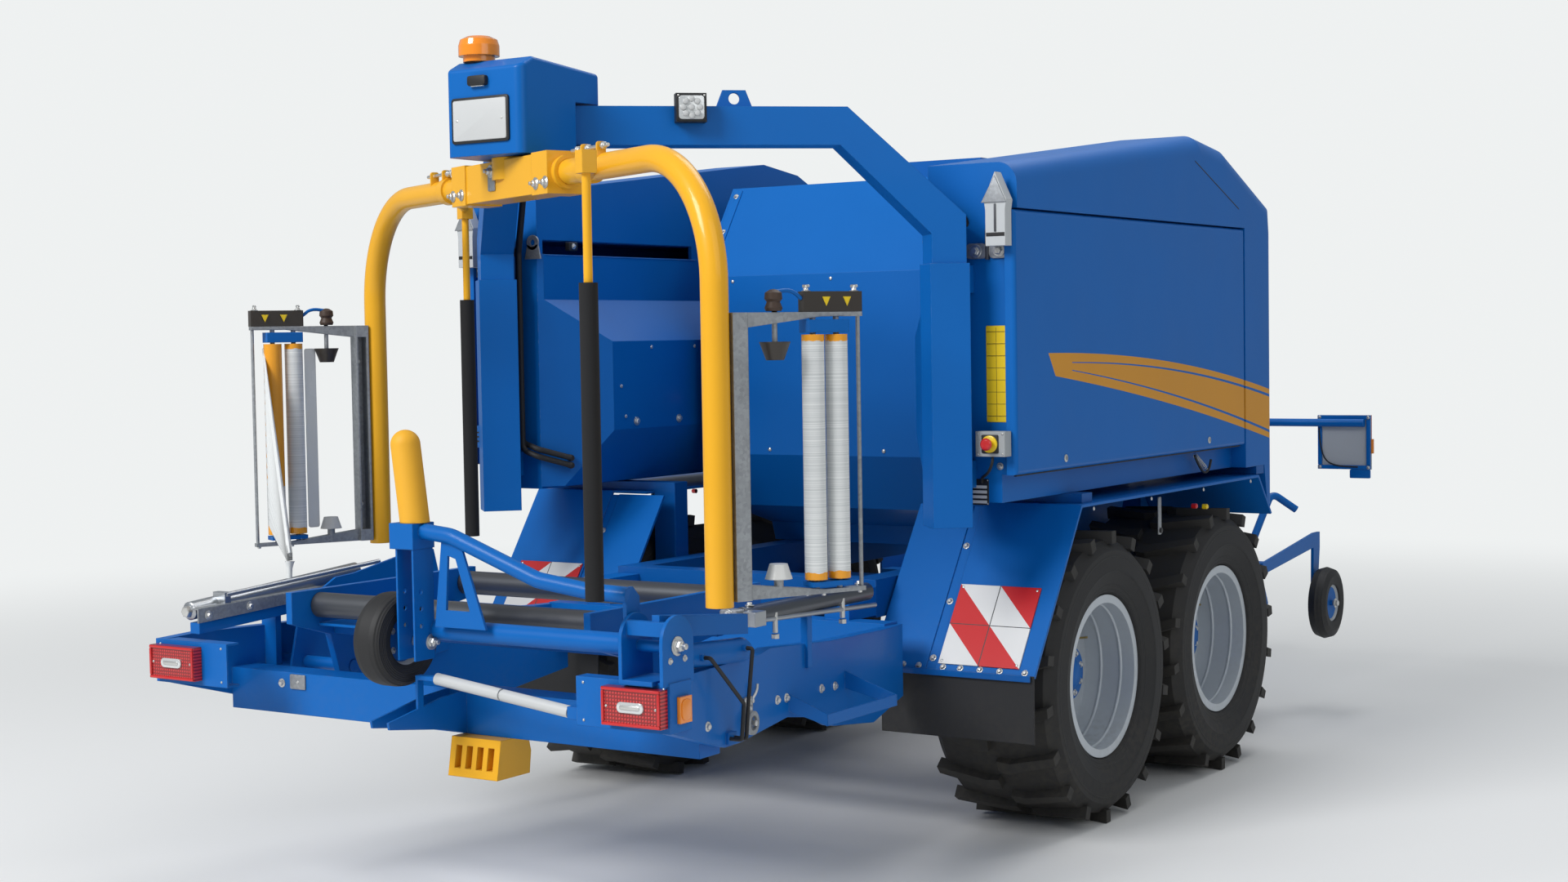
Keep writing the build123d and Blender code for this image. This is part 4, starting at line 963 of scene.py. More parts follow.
class Shape:
    """Collects the solids of one piece in one mesh."""

    def __init__(self, name: str, library: MaterialLibrary) -> None:
        """Start an empty piece.

        Args:
            name: Name of the piece.
            library: Library of the materials.
        """
        self.name = name
        self.library = library
        self.mesh = bmesh.new()
        self.finishes: list[Finish] = []

    def paint(self, faces: list[bmesh.types.BMFace], finish: Finish) -> int:
        """Give faces a finish.

        Args:
            faces: Faces of this piece.
            finish: Finish that they get.

        Returns:
            The finish's slot number.
        """
        if finish not in self.finishes:
            self.finishes.append(finish)
        index = self.finishes.index(finish)
        for face in faces:
            face.material_index = index
        return index

    def prism(self, at: Matrix, outline: Outline, depth: float, finish: Finish, bevel: float = 0.0) -> None:
        """Add a plate or block from its outline.

        Args:
            at: Place, with the outline in its xy plane.
            outline: Points, anticlockwise.
            depth: Thickness along z.
            finish: Finish of its faces.
            bevel: Width of its rounded edges.
        """
        low = [self.mesh.verts.new(at @ Vector((x, y, 0))) for x, y in outline]
        high = [self.mesh.verts.new(at @ Vector((x, y, depth))) for x, y in outline]
        faces = [self.mesh.faces.new(low[::-1]), self.mesh.faces.new(high)]
        for i in range(len(outline)):
            j = (i + 1) % len(outline)
            faces.append(self.mesh.faces.new((low[i], low[j], high[j], high[i])))
        index = self.paint(faces, finish)
        if bevel > 0:
            rim = list(faces[1].edges)
            bmesh.ops.bevel(
                self.mesh, geom=rim, offset=bevel, segments=2, affect="EDGES", profile=0.6, material=index
            )

    def turned(
        self, at: Matrix, profile: Outline, finish: Finish, sides: int = 20, loop: bool = False
    ) -> None:
        """Add a turned solid.

        Args:
            at: Place, with the axis along its z.
            profile: Radius and height of each ring, closed at radius 0 or by a flat end.
            finish: Finish of its faces.
            sides: Number of sides.
            loop: Whether the profile closes on itself, as a ring's does.
        """
        rows: list[list] = []
        for radius, height in profile:
            if radius < 1e-6:
                rows.append([self.mesh.verts.new(at @ Vector((0, 0, height)))])
            else:
                rows.append(
                    [self.mesh.verts.new(at @ Vector((x, y, height))) for x, y in ring(radius, sides)]
                )
        made = []
        following = rows[1:] + rows[:1] if loop else rows[1:]
        for first, second in zip(rows, following):
            for i in range(sides):
                j = (i + 1) % sides
                corners = [
                    first[i % len(first)],
                    first[j % len(first)],
                    second[j % len(second)],
                    second[i % len(second)],
                ]
                unique = list(dict.fromkeys(corners))
                if len(unique) > 2:
                    made.append(self.mesh.faces.new(unique))
        if len(rows[0]) > 1 and not loop:
            made.append(self.mesh.faces.new(rows[0][::-1]))
        if len(rows[-1]) > 1 and not loop:
            made.append(self.mesh.faces.new(rows[-1]))
        self.paint(made, finish)

    def tube(
        self, points: list[Point], radius: float, finish: Finish, sides: int = 10, rounds: int = 2
    ) -> None:
        """Add a rod or cable along a route with eased corners.

        Args:
            points: Corners of the route.
            radius: Radius of the tube.
            finish: Finish of its faces.
            sides: Number of sides.
            rounds: How often the corners are cut.
        """
        route = [Vector(p) for p in points]
        for _ in range(rounds if len(route) > 2 else 0):
            eased = [route[0]]
            for a, b in zip(route, route[1:]):
                eased += [a.lerp(b, 0.25), a.lerp(b, 0.75)]
            route = [*eased, route[-1]]
        rows = []
        side = None
        for i, at in enumerate(route):
            ahead = (route[min(i + 1, len(route) - 1)] - route[max(i - 1, 0)]).normalized()
            if side is None:
                side = ahead.orthogonal().normalized()
            side = (side - ahead * side.dot(ahead)).normalized()
            other = ahead.cross(side)
            rows.append([self.mesh.verts.new(at + (side * x + other * y)) for x, y in ring(radius, sides)])
        made = [self.mesh.faces.new(rows[0][::-1]), self.mesh.faces.new(rows[-1])]
        for first, second in zip(rows, rows[1:]):
            for i in range(sides):
                j = (i + 1) % sides
                made.append(self.mesh.faces.new((first[i], first[j], second[j], second[i])))
        self.paint(made, finish)

    def bolt(
        self, at: Point, normal: Point, size: float = 0.019, finish: Finish = ZINC, stud: bool = False
    ) -> None:
        """Add a hexagon head on its washer.

        Args:
            at: Foot of the head.
            normal: Direction out of the surface.
            size: Width over the head's flats.
            finish: Finish of the head.
            stud: Whether a threaded end stands out of it.
        """
        place = facing(at, normal)
        self.turned(place, [(size * 0.95, 0), (size * 0.95, size * 0.13), (0, size * 0.13)], finish, 16)
        corner = size / math.sqrt(3)
        head = [(corner, 0.001), (corner, size * 0.55), (corner * 0.84, size * 0.66), (0, size * 0.66)]
        self.turned(place, head, finish, 6)
        if stud:
            end = size * 1.15
            self.turned(
                place,
                [(size * 0.3, 0.001), (size * 0.3, end - 0.001), (size * 0.24, end), (0, end)],
                finish,
                10,
            )

    def round_head(self, at: Point, normal: Point, radius: float = 0.009, finish: Finish = ZINC) -> None:
        """Add a low domed head."""
        dome = [(radius, 0), (radius * 0.9, radius * 0.35), (radius * 0.5, radius * 0.55), (0, radius * 0.6)]
        self.turned(facing(at, normal), dome, finish, 14)

    def make(self, body: str) -> bpy.types.Object:
        """Turn the collected solids into an object on a body.

        Args:
            body: Body that it moves with.

        Returns:
            The object.
        """
        bmesh.ops.recalc_face_normals(self.mesh, faces=self.mesh.faces)
        data = bpy.data.meshes.new(self.name)
        self.mesh.to_mesh(data)
        self.mesh.free()
        for finish in self.finishes:
            data.materials.append(self.library.get(finish))
        data.shade_smooth()
        data.set_sharp_from_angle(angle=SMOOTH_ANGLE)
        piece = bpy.data.objects.new(self.name, data)
        bpy.context.scene.collection.objects.link(piece)
        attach(piece, body)
        return piece


@dataclass
class SubAssembly:
    """Group of pieces that belong together."""

    library: MaterialLibrary
    pieces: list[bpy.types.Object] = field(default_factory=list)

    def shape(self, name: str) -> Shape:
        """Start a new piece."""
        return Shape(name, self.library)

    def keep(self, shape: Shape, body: str, slot: Slot = Slot.STEEL) -> bpy.types.Object:
        """Finish a piece and remember it.

        Args:
            shape: The collected solids.
            body: Body that it moves with.
            slot: The record's material slot; not used.

        Returns:
            The object.
        """
        piece = shape.make(body)
        self.pieces.append(piece)
        return piece

    def report(self) -> None:
        """Log every piece of the group."""
        for piece in self.pieces:
            LOG.info("%s: %s, %d faces", type(self).__name__, piece.name, len(piece.data.polygons))


@dataclass
class CadCoats:
    """Gives every CAD node its finish."""

    library: MaterialLibrary
    tipper_disc: tuple[float, float] = (0.078, 0.088)
    gauge_disc: tuple[float, float] = (0.088, 0.100)

    def masks(self) -> dict[str, Mask]:
        """Materials that change over one node.

        Returns:
            Mask for the start of each node's name.
        """
        lamp = BandedColours("beacon_dome", AMBER, 3.160, BLACK.colour, AMBER.colour)
        cups = BandedColours("film_cups", WHITE, 1.7, (0.62, 0.62, 0.60), (0.035, 0.028, 0.022))
        tipper = SmallWheel("tipper_tyre", RUBBER, TIPPER_AXLE, *self.tipper_disc)
        gauge = SmallWheel("gauge_tyre", RUBBER, GAUGE_AXLE, *self.gauge_disc)
        orange = FilmRoller("film_roller_bare", FILM, 1.36, 1.52)
        return {
            "housing": SweepStripe(),
            "cover": SweepStripe(),
            "marker_boards": WarningBoard(),
            "film_roller_outer_left": orange,
            "film_roller": FilmRoller(),
            "film_holders": cups,
            "film_frames": FrameSteel(),
            "beacon": lamp,
            "tipper_wheel": tipper,
            "gauge_wheel": gauge,
            # stands before "wheel", which its name starts with
            "wheel_chock": BandedColours("chock", YELLOW, -1.0, YELLOW.colour, YELLOW.colour),
            "wheel": RoadWheelPaint(),
            "tyre": TyreWall(),
            "rear_lamps": LampGlass(),
            "rear_fittings": RearFittings(),
            "film_clamps": ClampSteel(),
        }

    def plain(self) -> dict[str, Finish]:
        """Finishes of the nodes that aren't plain blue.

        Returns:
            Finish for the start of each node's name.
        """
        return {
            # The main frame and the bogie beams take the darker copy of the blue paint: painted shade
            "bogie_beams": BLUE_SHADED,
            "main_frame": BLUE_SHADED,
            "stand": GALVANISED,
            "gearbox": DARK,
            "mudflaps": RUBBER,
            "rotor": YELLOW,
            "safety_foam": FOAM,
            "tipper_pad": PAD,
            "table_roller": DARK,
            "tine_reel": DARK,
            "stripper_bands": GALVANISED,
            "work_lamps": BLACK,
            "marker_lamps": AMBER,
            "hoses": RUBBER,
            "white_tube": WHITE,
        }

    def build(self) -> None:
        """Assign materials to the CAD nodes."""
        masks, plain = self.masks(), self.plain()
        for name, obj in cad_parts.items():
            mask = next((masks[key] for key in masks if name.startswith(key)), None)
            finish = next((plain[key] for key in plain if name.startswith(key)), BLUE)
            obj.data.materials.clear()
            obj.data.materials.append(mask.build(self.library) if mask else self.library.get(finish))
            LOG.info("CadCoats: %s in %s", name, obj.data.materials[0].name)


@dataclass
class RearFittings(Mask):
    """Zinc caps at the top, a grey stop box on the right and a blue one on the left."""

    name: str = "rear_fittings_coat"
    finish: Finish = GREY
    level: float = 2.3
    zinc: Colour = (0.47, 0.49, 0.50)

    def colour(self, t: NodeTree) -> Socket:
        """Colour by height and side.

        Args:
            t: Tree of the material.

        Returns:
            The colour socket.
        """
        x, _, z = t.place()
        boxes = t.mix(t.above(x, 0.0), BLUE.colour, GREY.colour)
        return t.mix(t.above(z, self.level), boxes, self.zinc)


@dataclass
class ClampSteel(Mask):
    """Bright steel on the left film clamp and a darker tube on the right one, whose darkness is painted
    shade.
    """

    name: str = "clamp_steel"
    finish: Finish = STEEL
    axis: tuple[float, float] = (1.050, 1.134)
    radius: float = 0.037
    # Darker copy of the steel colour: painted shade on the right clamp's tube
    dark: Colour = (0.110, 0.118, 0.130)

    def colour(self, t: NodeTree) -> Socket:
        """Darker steel, which is painted shade, only on the right clamp's thick tube.

        Args:
            t: Tree of the material.

        Returns:
            The colour socket.
        """
        x, _, z = t.place()
        tube = t.math("LESS_THAN", t.reach(x, z, self.axis), self.radius)
        return t.mix(tube, STEEL.colour, self.dark)


@dataclass
class GantryTrim(SubAssembly):
    """Number plate, plate lamp and work lamps on the gantry and its hood."""

    plate: tuple[float, float] = (0.275, 0.170)
    plate_at: Point = spot(-0.0095, -3.052, 2.9375)
    plate_lamp_at: Point = spot(-0.015, -3.052, 3.081)
    post: tuple[float, float] = (1.160, -1.640)
    turn: float = 43.4
    lamp_along: float = 1.020
    lamp_off: float = 0.1304
    lamp_z: float = 2.995

    def build(self) -> None:
        """Build the gantry's trim."""
        self._number_plate()
        for side in (RIGHT, LEFT):
            self._work_lamp(side)
        self.report()

    def _number_plate(self) -> None:
        """Blank plate in its black frame, with the lamp over it."""
        plate = self.shape("number_plate")
        width, height = self.plate
        plate.prism(facing(self.plate_at, BACK), rounded(width, height, 0.012), 0.008, BLACK, 0.002)
        front = (self.plate_at[0], self.plate_at[1] - 0.008, self.plate_at[2])
        plate.prism(facing(front, BACK), rounded(width - 0.020, height - 0.020, 0.008), 0.003, WHITE, 0.001)
        for dx in (-1, 1):
            at = (front[0] + dx * (width / 2 - 0.03), front[1] - 0.003, front[2])
            plate.round_head(at, BACK, 0.004)
        self.keep(plate, "chassis", Slot.PLASTIC)
        lamp = self.shape("plate_lamp")
        lamp.prism(facing(self.plate_lamp_at, BACK), rounded(0.086, 0.038, 0.010), 0.020, BLACK, 0.004)
        under = (self.plate_lamp_at[0], self.plate_lamp_at[1] - 0.010, self.plate_lamp_at[2] - 0.019)
        lamp.prism(facing(under, DOWN), rounded(0.060, 0.012, 0.004), 0.003, GLASS, 0.001)
        self.keep(lamp, "chassis", Slot.PLASTIC)

    def _work_lamp(self, side: int) -> None:
        """Clear lens, rim and a ring of light spots on one work lamp.

        Args:
            side: Right or left.
        """
        c, s = math.cos(math.radians(self.turn)), math.sin(math.radians(self.turn))
        out = Vector((side * s, -c, 0))
        base = Vector((side * self.post[0], station(self.post[1]), self.lamp_z))
        face = base + Vector((-side * c, -s, 0)) * self.lamp_along + out * self.lamp_off
        place = facing(face, out)
        lamp = self.shape("work_lamp_lens_" + SIDE_NAME[side])
        lamp.prism(place, rounded(0.116, 0.108, 0.018), 0.004, BLACK, 0.002)
        lamp.prism(shifted(place, 0, 0, 0.0042), rounded(0.098, 0.090, 0.012), 0.004, GLASS, 0.002)
        for x, y in [(0.0, 0.0), *ring(0.032, 8)]:
            bowl = [(0.011, 0.0), (0.011, 0.004), (0.006, 0.006), (0, 0.006)]
            lamp.turned(shifted(place, x, y, 0.0083), bowl, WHITE, 14)
        for x in (-0.050, 0.050):
            lamp.round_head(place @ Vector((x, 0.046, 0.004)), out, 0.004)
        self.keep(lamp, "chassis", Slot.PLASTIC)


@dataclass
class RotorTrim(SubAssembly):
    """Bolts, plates and the tie rod on the wrapping rotor."""

    turn: float = -25.2
    axis_y: float = -2.870
    beam_half: float = 0.0725
    sleeve_half: float = 0.0775
    level: float = 2.722

    def local(self, a: float, b: float, z: float) -> Point:
        """Frame point of a place on the rotor.

        Args:
            a: Distance along the beam.
            b: Distance across the beam.
            z: Height.

        Returns:
            The point.
        """
        c, s = math.cos(math.radians(self.turn)), math.sin(math.radians(self.turn))
        return (a * c - b * s, station(self.axis_y) + a * s + b * c, z)

    def way(self, a: float, b: float) -> Point:
        """Frame direction of a direction on the rotor."""
        c, s = math.cos(math.radians(self.turn)), math.sin(math.radians(self.turn))
        return (a * c - b * s, a * s + b * c, 0)

    def build(self) -> None:
        """Build the rotor's trim."""
        trim = self.shape("rotor_bolts")
        for face in (RIGHT, LEFT):
            across = self.way(0, -face)
            for end in (RIGHT, LEFT):
                for a in (0.335, 0.415):
                    at = self.local(end * a, -face * self.sleeve_half, self.level - 0.036)
                    trim.bolt(at, across, 0.024, stud=True)
        plate = facing(self.local(-0.056, -self.beam_half, self.level + 0.010), self.way(0, -1))
        trim.prism(plate, rounded(0.060, 0.095, 0.006), 0.006, GALVANISED, 0.001)
        trim.bolt(
            self.local(-0.056, -self.beam_half - 0.006, self.level + 0.036), self.way(0, -1), 0.026, stud=True
        )
        self.keep(trim, "rotor")
        self._tie_rods()
        self.report()

    def _tie_rods(self) -> None:
        """Threaded tie rod over each brace ring with its nuts."""
        rods = self.shape("rotor_tie_rods")
        for end in (RIGHT, LEFT):
            high = self.level + 0.068
            ends = [self.local(end * a, -0.020, high) for a in (0.520, 0.800)]
            rods.tube(ends, 0.007, ZINC)
            for a in (0.560, 0.600, 0.640, 0.760):
                place = facing(self.local(end * a, -0.020, high), self.way(1, 0))
                rods.turned(place, [(0.014, 0), (0.014, 0.012), (0.011, 0.014), (0, 0.014)], ZINC, 6)
            for a in (0.620, 0.740):
                lug = facing(self.local(end * a, -0.020, self.level + 0.040), self.way(1, 0))
                rods.prism(lug, rounded(0.036, 0.088, 0.010), 0.008, YELLOW, 0.001)
        self.keep(rods, "rotor", Slot.PAINT)


@dataclass
class FilmFrameTrim(RotorTrim):
    """Nuts, knobs and blank triangles on the film frames, and the film's web."""

    reach: float = 1.480
    bar_top: float = 2.2644
    rollers: tuple[float, float] = (0.372, 0.464)
    roller_radius: float = 0.038
    film_width: float = 0.750
    film_run: float = 0.811
    film_steps: int = 20
    pleats: int = 16
    web_low: float = 1.352
    web_high: float = 2.102
    clamp: Point = spot(-1.050, -3.065, 1.256)
    rope_high: float = 0.030

    def at(self, side: int, tangent: float, z: float, out: float = 0.0) -> Point:
        """Frame point of a place on one film frame.

        Args:
            side: Right or left frame.
            tangent: Distance along the frame's plane.
            z: Height.
            out: Distance outside the frame's middle.

        Returns:
            The point.
        """
        return self.local(side * (self.reach + out), side * tangent, z)

    def build(self) -> None:
        """Build the frames' trim and the film."""
        for side in (RIGHT, LEFT):
            self._frame(side)
        self._web()
        self._film_edge()
        self.report()

    def _frame(self, side: int) -> None:
        """Trim of one film frame.

        Args:
            side: Right or left.
        """
        trim = self.shape("film_frame_trim_" + SIDE_NAME[side])
        for tangent in (0.350, 0.540):
            top = self.at(side, tangent, self.bar_top, -0.003)
            trim.bolt(top, UP, 0.016, stud=True)
            wing = facing(Vector(top) + Vector((0, 0, 0.013)), self.way(0, 1))
            trim.prism(shifted(wing, 0, 0.004, -0.001), rounded(0.042, 0.010, 0.004), 0.003, ZINC, 0.001)
        for tangent in (0.418, 0.500):
            for out in (RIGHT, LEFT):
                off = -0.0025 + out * 0.0178
                place = facing(self.at(side, tangent, self.bar_top - 0.034, off), self.way(side * out, 0))
                trim.prism(place, [(-0.016, 0.016), (0.0, -0.016), (0.016, 0.016)], 0.0008, LABEL)
        for tangent in (0.400, 0.545):
            trim.bolt(self.at(side, tangent, 1.2635), DOWN, 0.014)
        for z in (1.300, 1.420, 2.040, 2.160):
            place = self.at(side, 0.075, z, 0.0155)
            trim.round_head(place, self.way(side, 0), 0.008)
        knob = facing(self.at(side, 0.222, 2.2), UP)
        coil = [
            (0.026, 0.0),
            (0.030, 0.010),
            (0.022, 0.030),
            (0.030, 0.040),
            (0.028, 0.060),
            (0.012, 0.070),
            (0, 0.072),
        ]
        trim.turned(knob, coil, BROWN, 18)
        lever = [self.at(side, t, z) for t, z in ((0.222, 2.262), (0.290, 2.270), (0.330, 2.240))]
        trim.tube(lever, 0.007, BLUE)
        self.keep(trim, "rotor")

    def _web(self) -> None:
        """Film from the left outer roller to the clamp, gathered in pleats that keep its width."""
        sheet = self.shape("film_web")
        roller = self.at(LEFT, self.rollers[1] + self.roller_radius * 0.88, 1.0, self.roller_radius * 0.58)
        start, end = Vector((roller[0], roller[1], 0)), Vector(self.clamp)
        across = Vector((end.y - start.y, start.x - end.x, 0)).normalized()
        length, width = self.film_steps, 4 * self.pleats
        rows = []
        for i in range(length + 1):
            go = i / length
            chord = self.film_width * (1 - go) + self.rope_high * go
            depth = math.sqrt(max(self.film_width ** 2 - chord ** 2, 0.0)) / width
            row = []
            for j in range(width + 1):
                up = j / width
                foot = start + Vector((0, 0, self.web_low + (self.web_high - self.web_low) * up))
                at = foot.lerp(end + Vector((0, 0, self.rope_high * up)), go)
                row.append(sheet.mesh.verts.new(at + across * depth * (0, 1, 0, -1)[j % 4]))
            rows.append(row)
        made = [
            sheet.mesh.faces.new((first[j], first[j + 1], second[j + 1], second[j]))
            for first, second in zip(rows, rows[1:])
            for j in range(width)
        ]
        sheet.paint(made, FILM)
        top, last = rows[0][-1].co.copy(), rows[-1][-1].co.copy()
        piece = self.keep(sheet, "rotor", Slot.PLASTIC)
        hem = self.shape("film_web_edge")
        hem.tube([top, top.lerp(last, 0.5), last], 0.005, FILM)
        edge = self.keep(hem, "rotor", Slot.PLASTIC)
        rope = self.shape("film_rope")
        start = Vector(self.clamp) + Vector((0, 0, -0.002))
        rope.turned(
            facing(start, (0.0, -0.05, -1.0)),
            [(0.020, 0.0), (0.016, 0.010), (0.011, 0.030), (0.010, 0.080), (0, 0.082)],
            FILM,
            14,
        )
        self.keep(rope, "chassis", Slot.PLASTIC)

    def _film_edge(self) -> None:
        """Loose film end that stands beside the left inner roller."""
        strip = self.shape("film_edge")
        place = facing(self.at(LEFT, 0.296, 1.715, 0.012), self.way(-1, 0))
        strip.prism(place, rounded(0.050, 0.770, 0.010), 0.003, FILM, 0.001)
        self.keep(strip, "rotor", Slot.PLASTIC)


@dataclass
class HousingTrim(SubAssembly):
    """Bolts, plates, boxes and seams on the two drive housings."""

    inner: float = 1.020
    skin: float = 1.420
    casing: float = 0.800
    casing_high: float = 1.000
    rear: float = -1.515
    box_face: float = -1.605
    slit: tuple[float, float] = (-1.475, -0.300)
    cap_x: float = 1.3685

    def build(self) -> None:
        """Build the trim of both housings."""
        for side in (RIGHT, LEFT):
            self._bolts(side)
            self._eye_plate(side)
            self._seams(side)
            self._rear_plate(side)
        self._stop_box()
        self._left_box()
        self._labels()
        self._springs()
        self.report()

    def _bolts(self, side: int) -> None:
        """Bolts on the inner skin and on the casing of one side.

        Args:
            side: Right or left.
        """
        trim = self.shape("housing_bolts_" + SIDE_NAME[side])
        facing_in = (-side, 0, 0)
        for y, z in ((-1.318, 2.498), (-1.091, 2.499), (-1.316, 2.438), (-1.090, 2.437)):
            trim.round_head(spot(side * self.inner, y, z), facing_in, 0.010)
        for y, z in ((-1.45, 2.294), (-1.10, 2.294), (-0.810, 2.296), (-0.405, 2.298)):
            trim.round_head(spot(side * self.casing_high, y, z - 0.01), facing_in, 0.009)
        for y, z in ((-1.190, 1.901), (-1.160, 1.760), (-0.95, 2.08), (-0.60, 2.08), (-0.35, 2.08)):
            trim.round_head(spot(side * self.casing, y, z), facing_in, 0.009)
        for y, z in ((-1.078, 1.735), (-0.740, 1.735), (-0.42, 1.735)):
            trim.bolt(spot(side * self.casing, y, z), facing_in, 0.022)
        self.keep(trim, "chassis")

    def _eye_plate(self, side: int) -> None:
        """Zinc lifting eye at the inner skin's edge, the latch box and the slit's lip.

        Args:
            side: Right or left.
        """
        trim = self.shape("lift_eye_" + SIDE_NAME[side])
        place = facing(spot(side * (self.inner + 0.020), self.rear, 2.545), BACK)
        web = [
            (-0.046, -0.055),
            (0.046, -0.055),
            (0.031, 0.012),
            (0.012, 0.003),
            (0, 0.0),
            (-0.012, 0.003),
            (-0.031, 0.012),
        ]
        trim.prism(place, web, 0.008, GALVANISED)
        loop = shifted(place, 0, 0.020, 0)
        trim.turned(
            loop, [(0.014, 0.0), (0.034, 0.0), (0.034, 0.008), (0.014, 0.008)], GALVANISED, 28, loop=True
        )
        box = facing(spot(side * self.inner, -1.279, 2.552), (-side, 0, 0))
        trim.prism(box, rounded(0.060, 0.040, 0.006), 0.026, BLACK, 0.003)
        trim.bolt(box @ Vector((0, 0, 0.026)), (-side, 0, 0), 0.014)
        low, high = self.slit
        lip = facing(spot(side * self.inner, (low + high) / 2, 2.508), (-side, 0, 0))
        trim.prism(lip, rounded(high - low, 0.005), 0.022, BLUE, 0.001)
        self.keep(trim, "chassis")

    def _seams(self, side: int) -> None:
        """Thin joint between the upper hood and the front column.

        Args:
            side: Right or left.
        """
        seam = self.shape("hood_seam_" + SIDE_NAME[side])
        low, high = Vector((0.848, 2.700)), Vector((0.302, 2.900))
        mid, run = (low + high) / 2, high - low
        place = facing(spot(side * self.skin, mid.x, mid.y), (side, 0, 0), (0, run.x, run.y))
        seam.prism(place, rounded(0.005, run.length), 0.0008, BLACK)
        self.keep(seam, "chassis", Slot.PLASTIC)

    def _rear_plate(self, side: int) -> None:
        """Zinc plate under each cap with two bolts, and the short hose loop.

        Args:
            side: Right or left.
        """
        trim = self.shape("rear_plate_" + SIDE_NAME[side])
        for x in (-0.052, 0.052):
            place = facing(spot(side * 1.290 + x, self.rear, 2.445), BACK)
            trim.prism(place, rounded(0.092, 0.062, 0.020), 0.010, GALVANISED, 0.002)
            trim.bolt(place @ Vector((0, 0, 0.010)), BACK, 0.028)
        bar = facing(spot(side * 1.290, self.rear, 2.470), BACK)
        trim.prism(bar, rounded(0.014, 0.120, 0.003), 0.016, DARK, 0.001)
        cap = facing(spot(side * self.cap_x, self.box_face, 2.630), BACK)
        trim.prism(cap, [(-0.060, 0), (0.050, 0), (0.0, 0.105)], 0.005, GALVANISED, 0.001)
        trim.prism(shifted(cap, 0, -0.125, 0), rounded(0.080, 0.014), 0.002, BLACK)
        trim.prism(shifted(cap, 0, -0.060, 0), rounded(0.008, 0.110, 0.002), 0.004, DARK, 0.001)
        hose = [spot(side * x, y, z) for x, y, z in (
            (1.150, -1.500, 2.500), (1.148, -1.545, 2.560), (1.160, -1.548, 2.610), (1.190, -1.545, 2.600),
            (1.196, -1.500, 2.540),
        )]
        trim.tube(hose, 0.010, RUBBER)
        self.keep(trim, "chassis")

    def _stop_box(self) -> None:
        """Red stop button on a yellow ring, with the box's screws and its cable."""
        trim = self.shape("stop_button")
        place = facing(spot(1.335, self.box_face, 1.680), BACK)
        trim.prism(place, rounded(0.074, 0.074, 0.006), 0.004, BLACK, 0.001)
        trim.turned(
            shifted(place, 0, 0, 0.004), [(0.034, 0), (0.034, 0.006), (0.030, 0.008), (0, 0.008)], LABEL, 28
        )
        button = [(0.012, 0), (0.012, 0.014), (0.024, 0.018), (0.025, 0.026), (0.019, 0.033), (0, 0.036)]
        trim.turned(shifted(place, 0, 0, 0.012), button, RED, 28)
        for x in (-0.055, 0.055):
            for y in (-0.040, 0.040):
                trim.round_head(place @ Vector((x, y, 0)), BACK, 0.005)
        cable = [
            spot(1.335, -1.585, 1.630),
            spot(1.335, -1.590, 1.600),
            spot(1.300, -1.560, 1.560),
            spot(1.255, -1.530, 1.540),
            spot(1.251, -1.516, 1.520),
        ]
        trim.tube(cable, 0.006, RUBBER)
        trim.bolt(spot(1.332, self.rear, 1.587), BACK, 0.016)
        self.keep(trim, "chassis", Slot.PLASTIC)

    def _left_box(self) -> None:
        """Slots and red cap of the left box."""
        trim = self.shape("left_box")
        place = facing(spot(-1.335, self.box_face, 1.680), BACK)
        for y in (-0.020, 0.0, 0.020):
            trim.prism(shifted(place, 0, y, 0), rounded(0.080, 0.007, 0.003), 0.002, BLACK)
        cap = [(0.016, 0), (0.016, 0.012), (0.022, 0.016), (0.020, 0.028), (0, 0.032)]
        trim.turned(facing(spot(-1.310, -1.575, 1.730), UP), cap, RED, 20)
        for x in (-0.055, 0.055):
            trim.round_head(place @ Vector((x, 0.040, 0)), BACK, 0.005)
        self.keep(trim, "chassis", Slot.PLASTIC)

    def _labels(self) -> None:
        """Blank label with fields and blank type plate on the right rear face."""
        label = self.shape("blank_labels")
        place = facing(spot(1.3205, self.rear, 1.955), BACK)
        label.prism(place, rounded(0.091, 0.384, 0.006), 0.0012, LABEL)
        for row in range(8):
            at = shifted(place, 0, 0.168 - row * 0.048, 0.0012)
            label.prism(at, rounded(0.083, 0.0015), 0.0004, BLACK)
        label.prism(shifted(place, 0, 0, 0.0012), rounded(0.0015, 0.370), 0.0003, BLACK)
        plate = facing(spot(1.235, self.rear, 1.4825), BACK)
        label.prism(plate, rounded(0.090, 0.105, 0.004), 0.002, BLACK, 0.0005)
        for row in range(4):
            at = shifted(plate, 0.004, 0.020 - row * 0.020, 0.002)
            label.prism(at, rounded(0.066, 0.012, 0.002), 0.0005, WHITE)
        for x in (-0.040, 0.040):
            for y in (-0.047, 0.047):
                label.round_head(plate @ Vector((x, y, 0.002)), BACK, 0.003)
        self.keep(label, "chassis", Slot.PLASTIC)

    def _springs(self) -> None:
        """Spring and black loop under each cover."""
        trim = self.shape("cover_springs")
        for side in (RIGHT, LEFT):
            top, foot = Vector((0.371, 1.530)), Vector((0.500, 1.462))
            turns = 9
            coil = []
            for i in range(turns * 6 + 1):
                go = i / (turns * 6)
                y, z = top.lerp(foot, go)
                a = i * math.tau / 6
                coil.append(spot(side * (1.380 + 0.011 * math.cos(a)), y, z + 0.011 * math.sin(a)))
            trim.tube(coil, 0.0025, ZINC, 6, 0)
            route = ((0.340, 1.530), (0.390, 1.480), (0.450, 1.440), (0.510, 1.450), (0.540, 1.500))
            loop = [spot(side * 1.392, y, z) for y, z in route]
            trim.tube(loop, 0.006, RUBBER)
        self.keep(trim, "chassis")


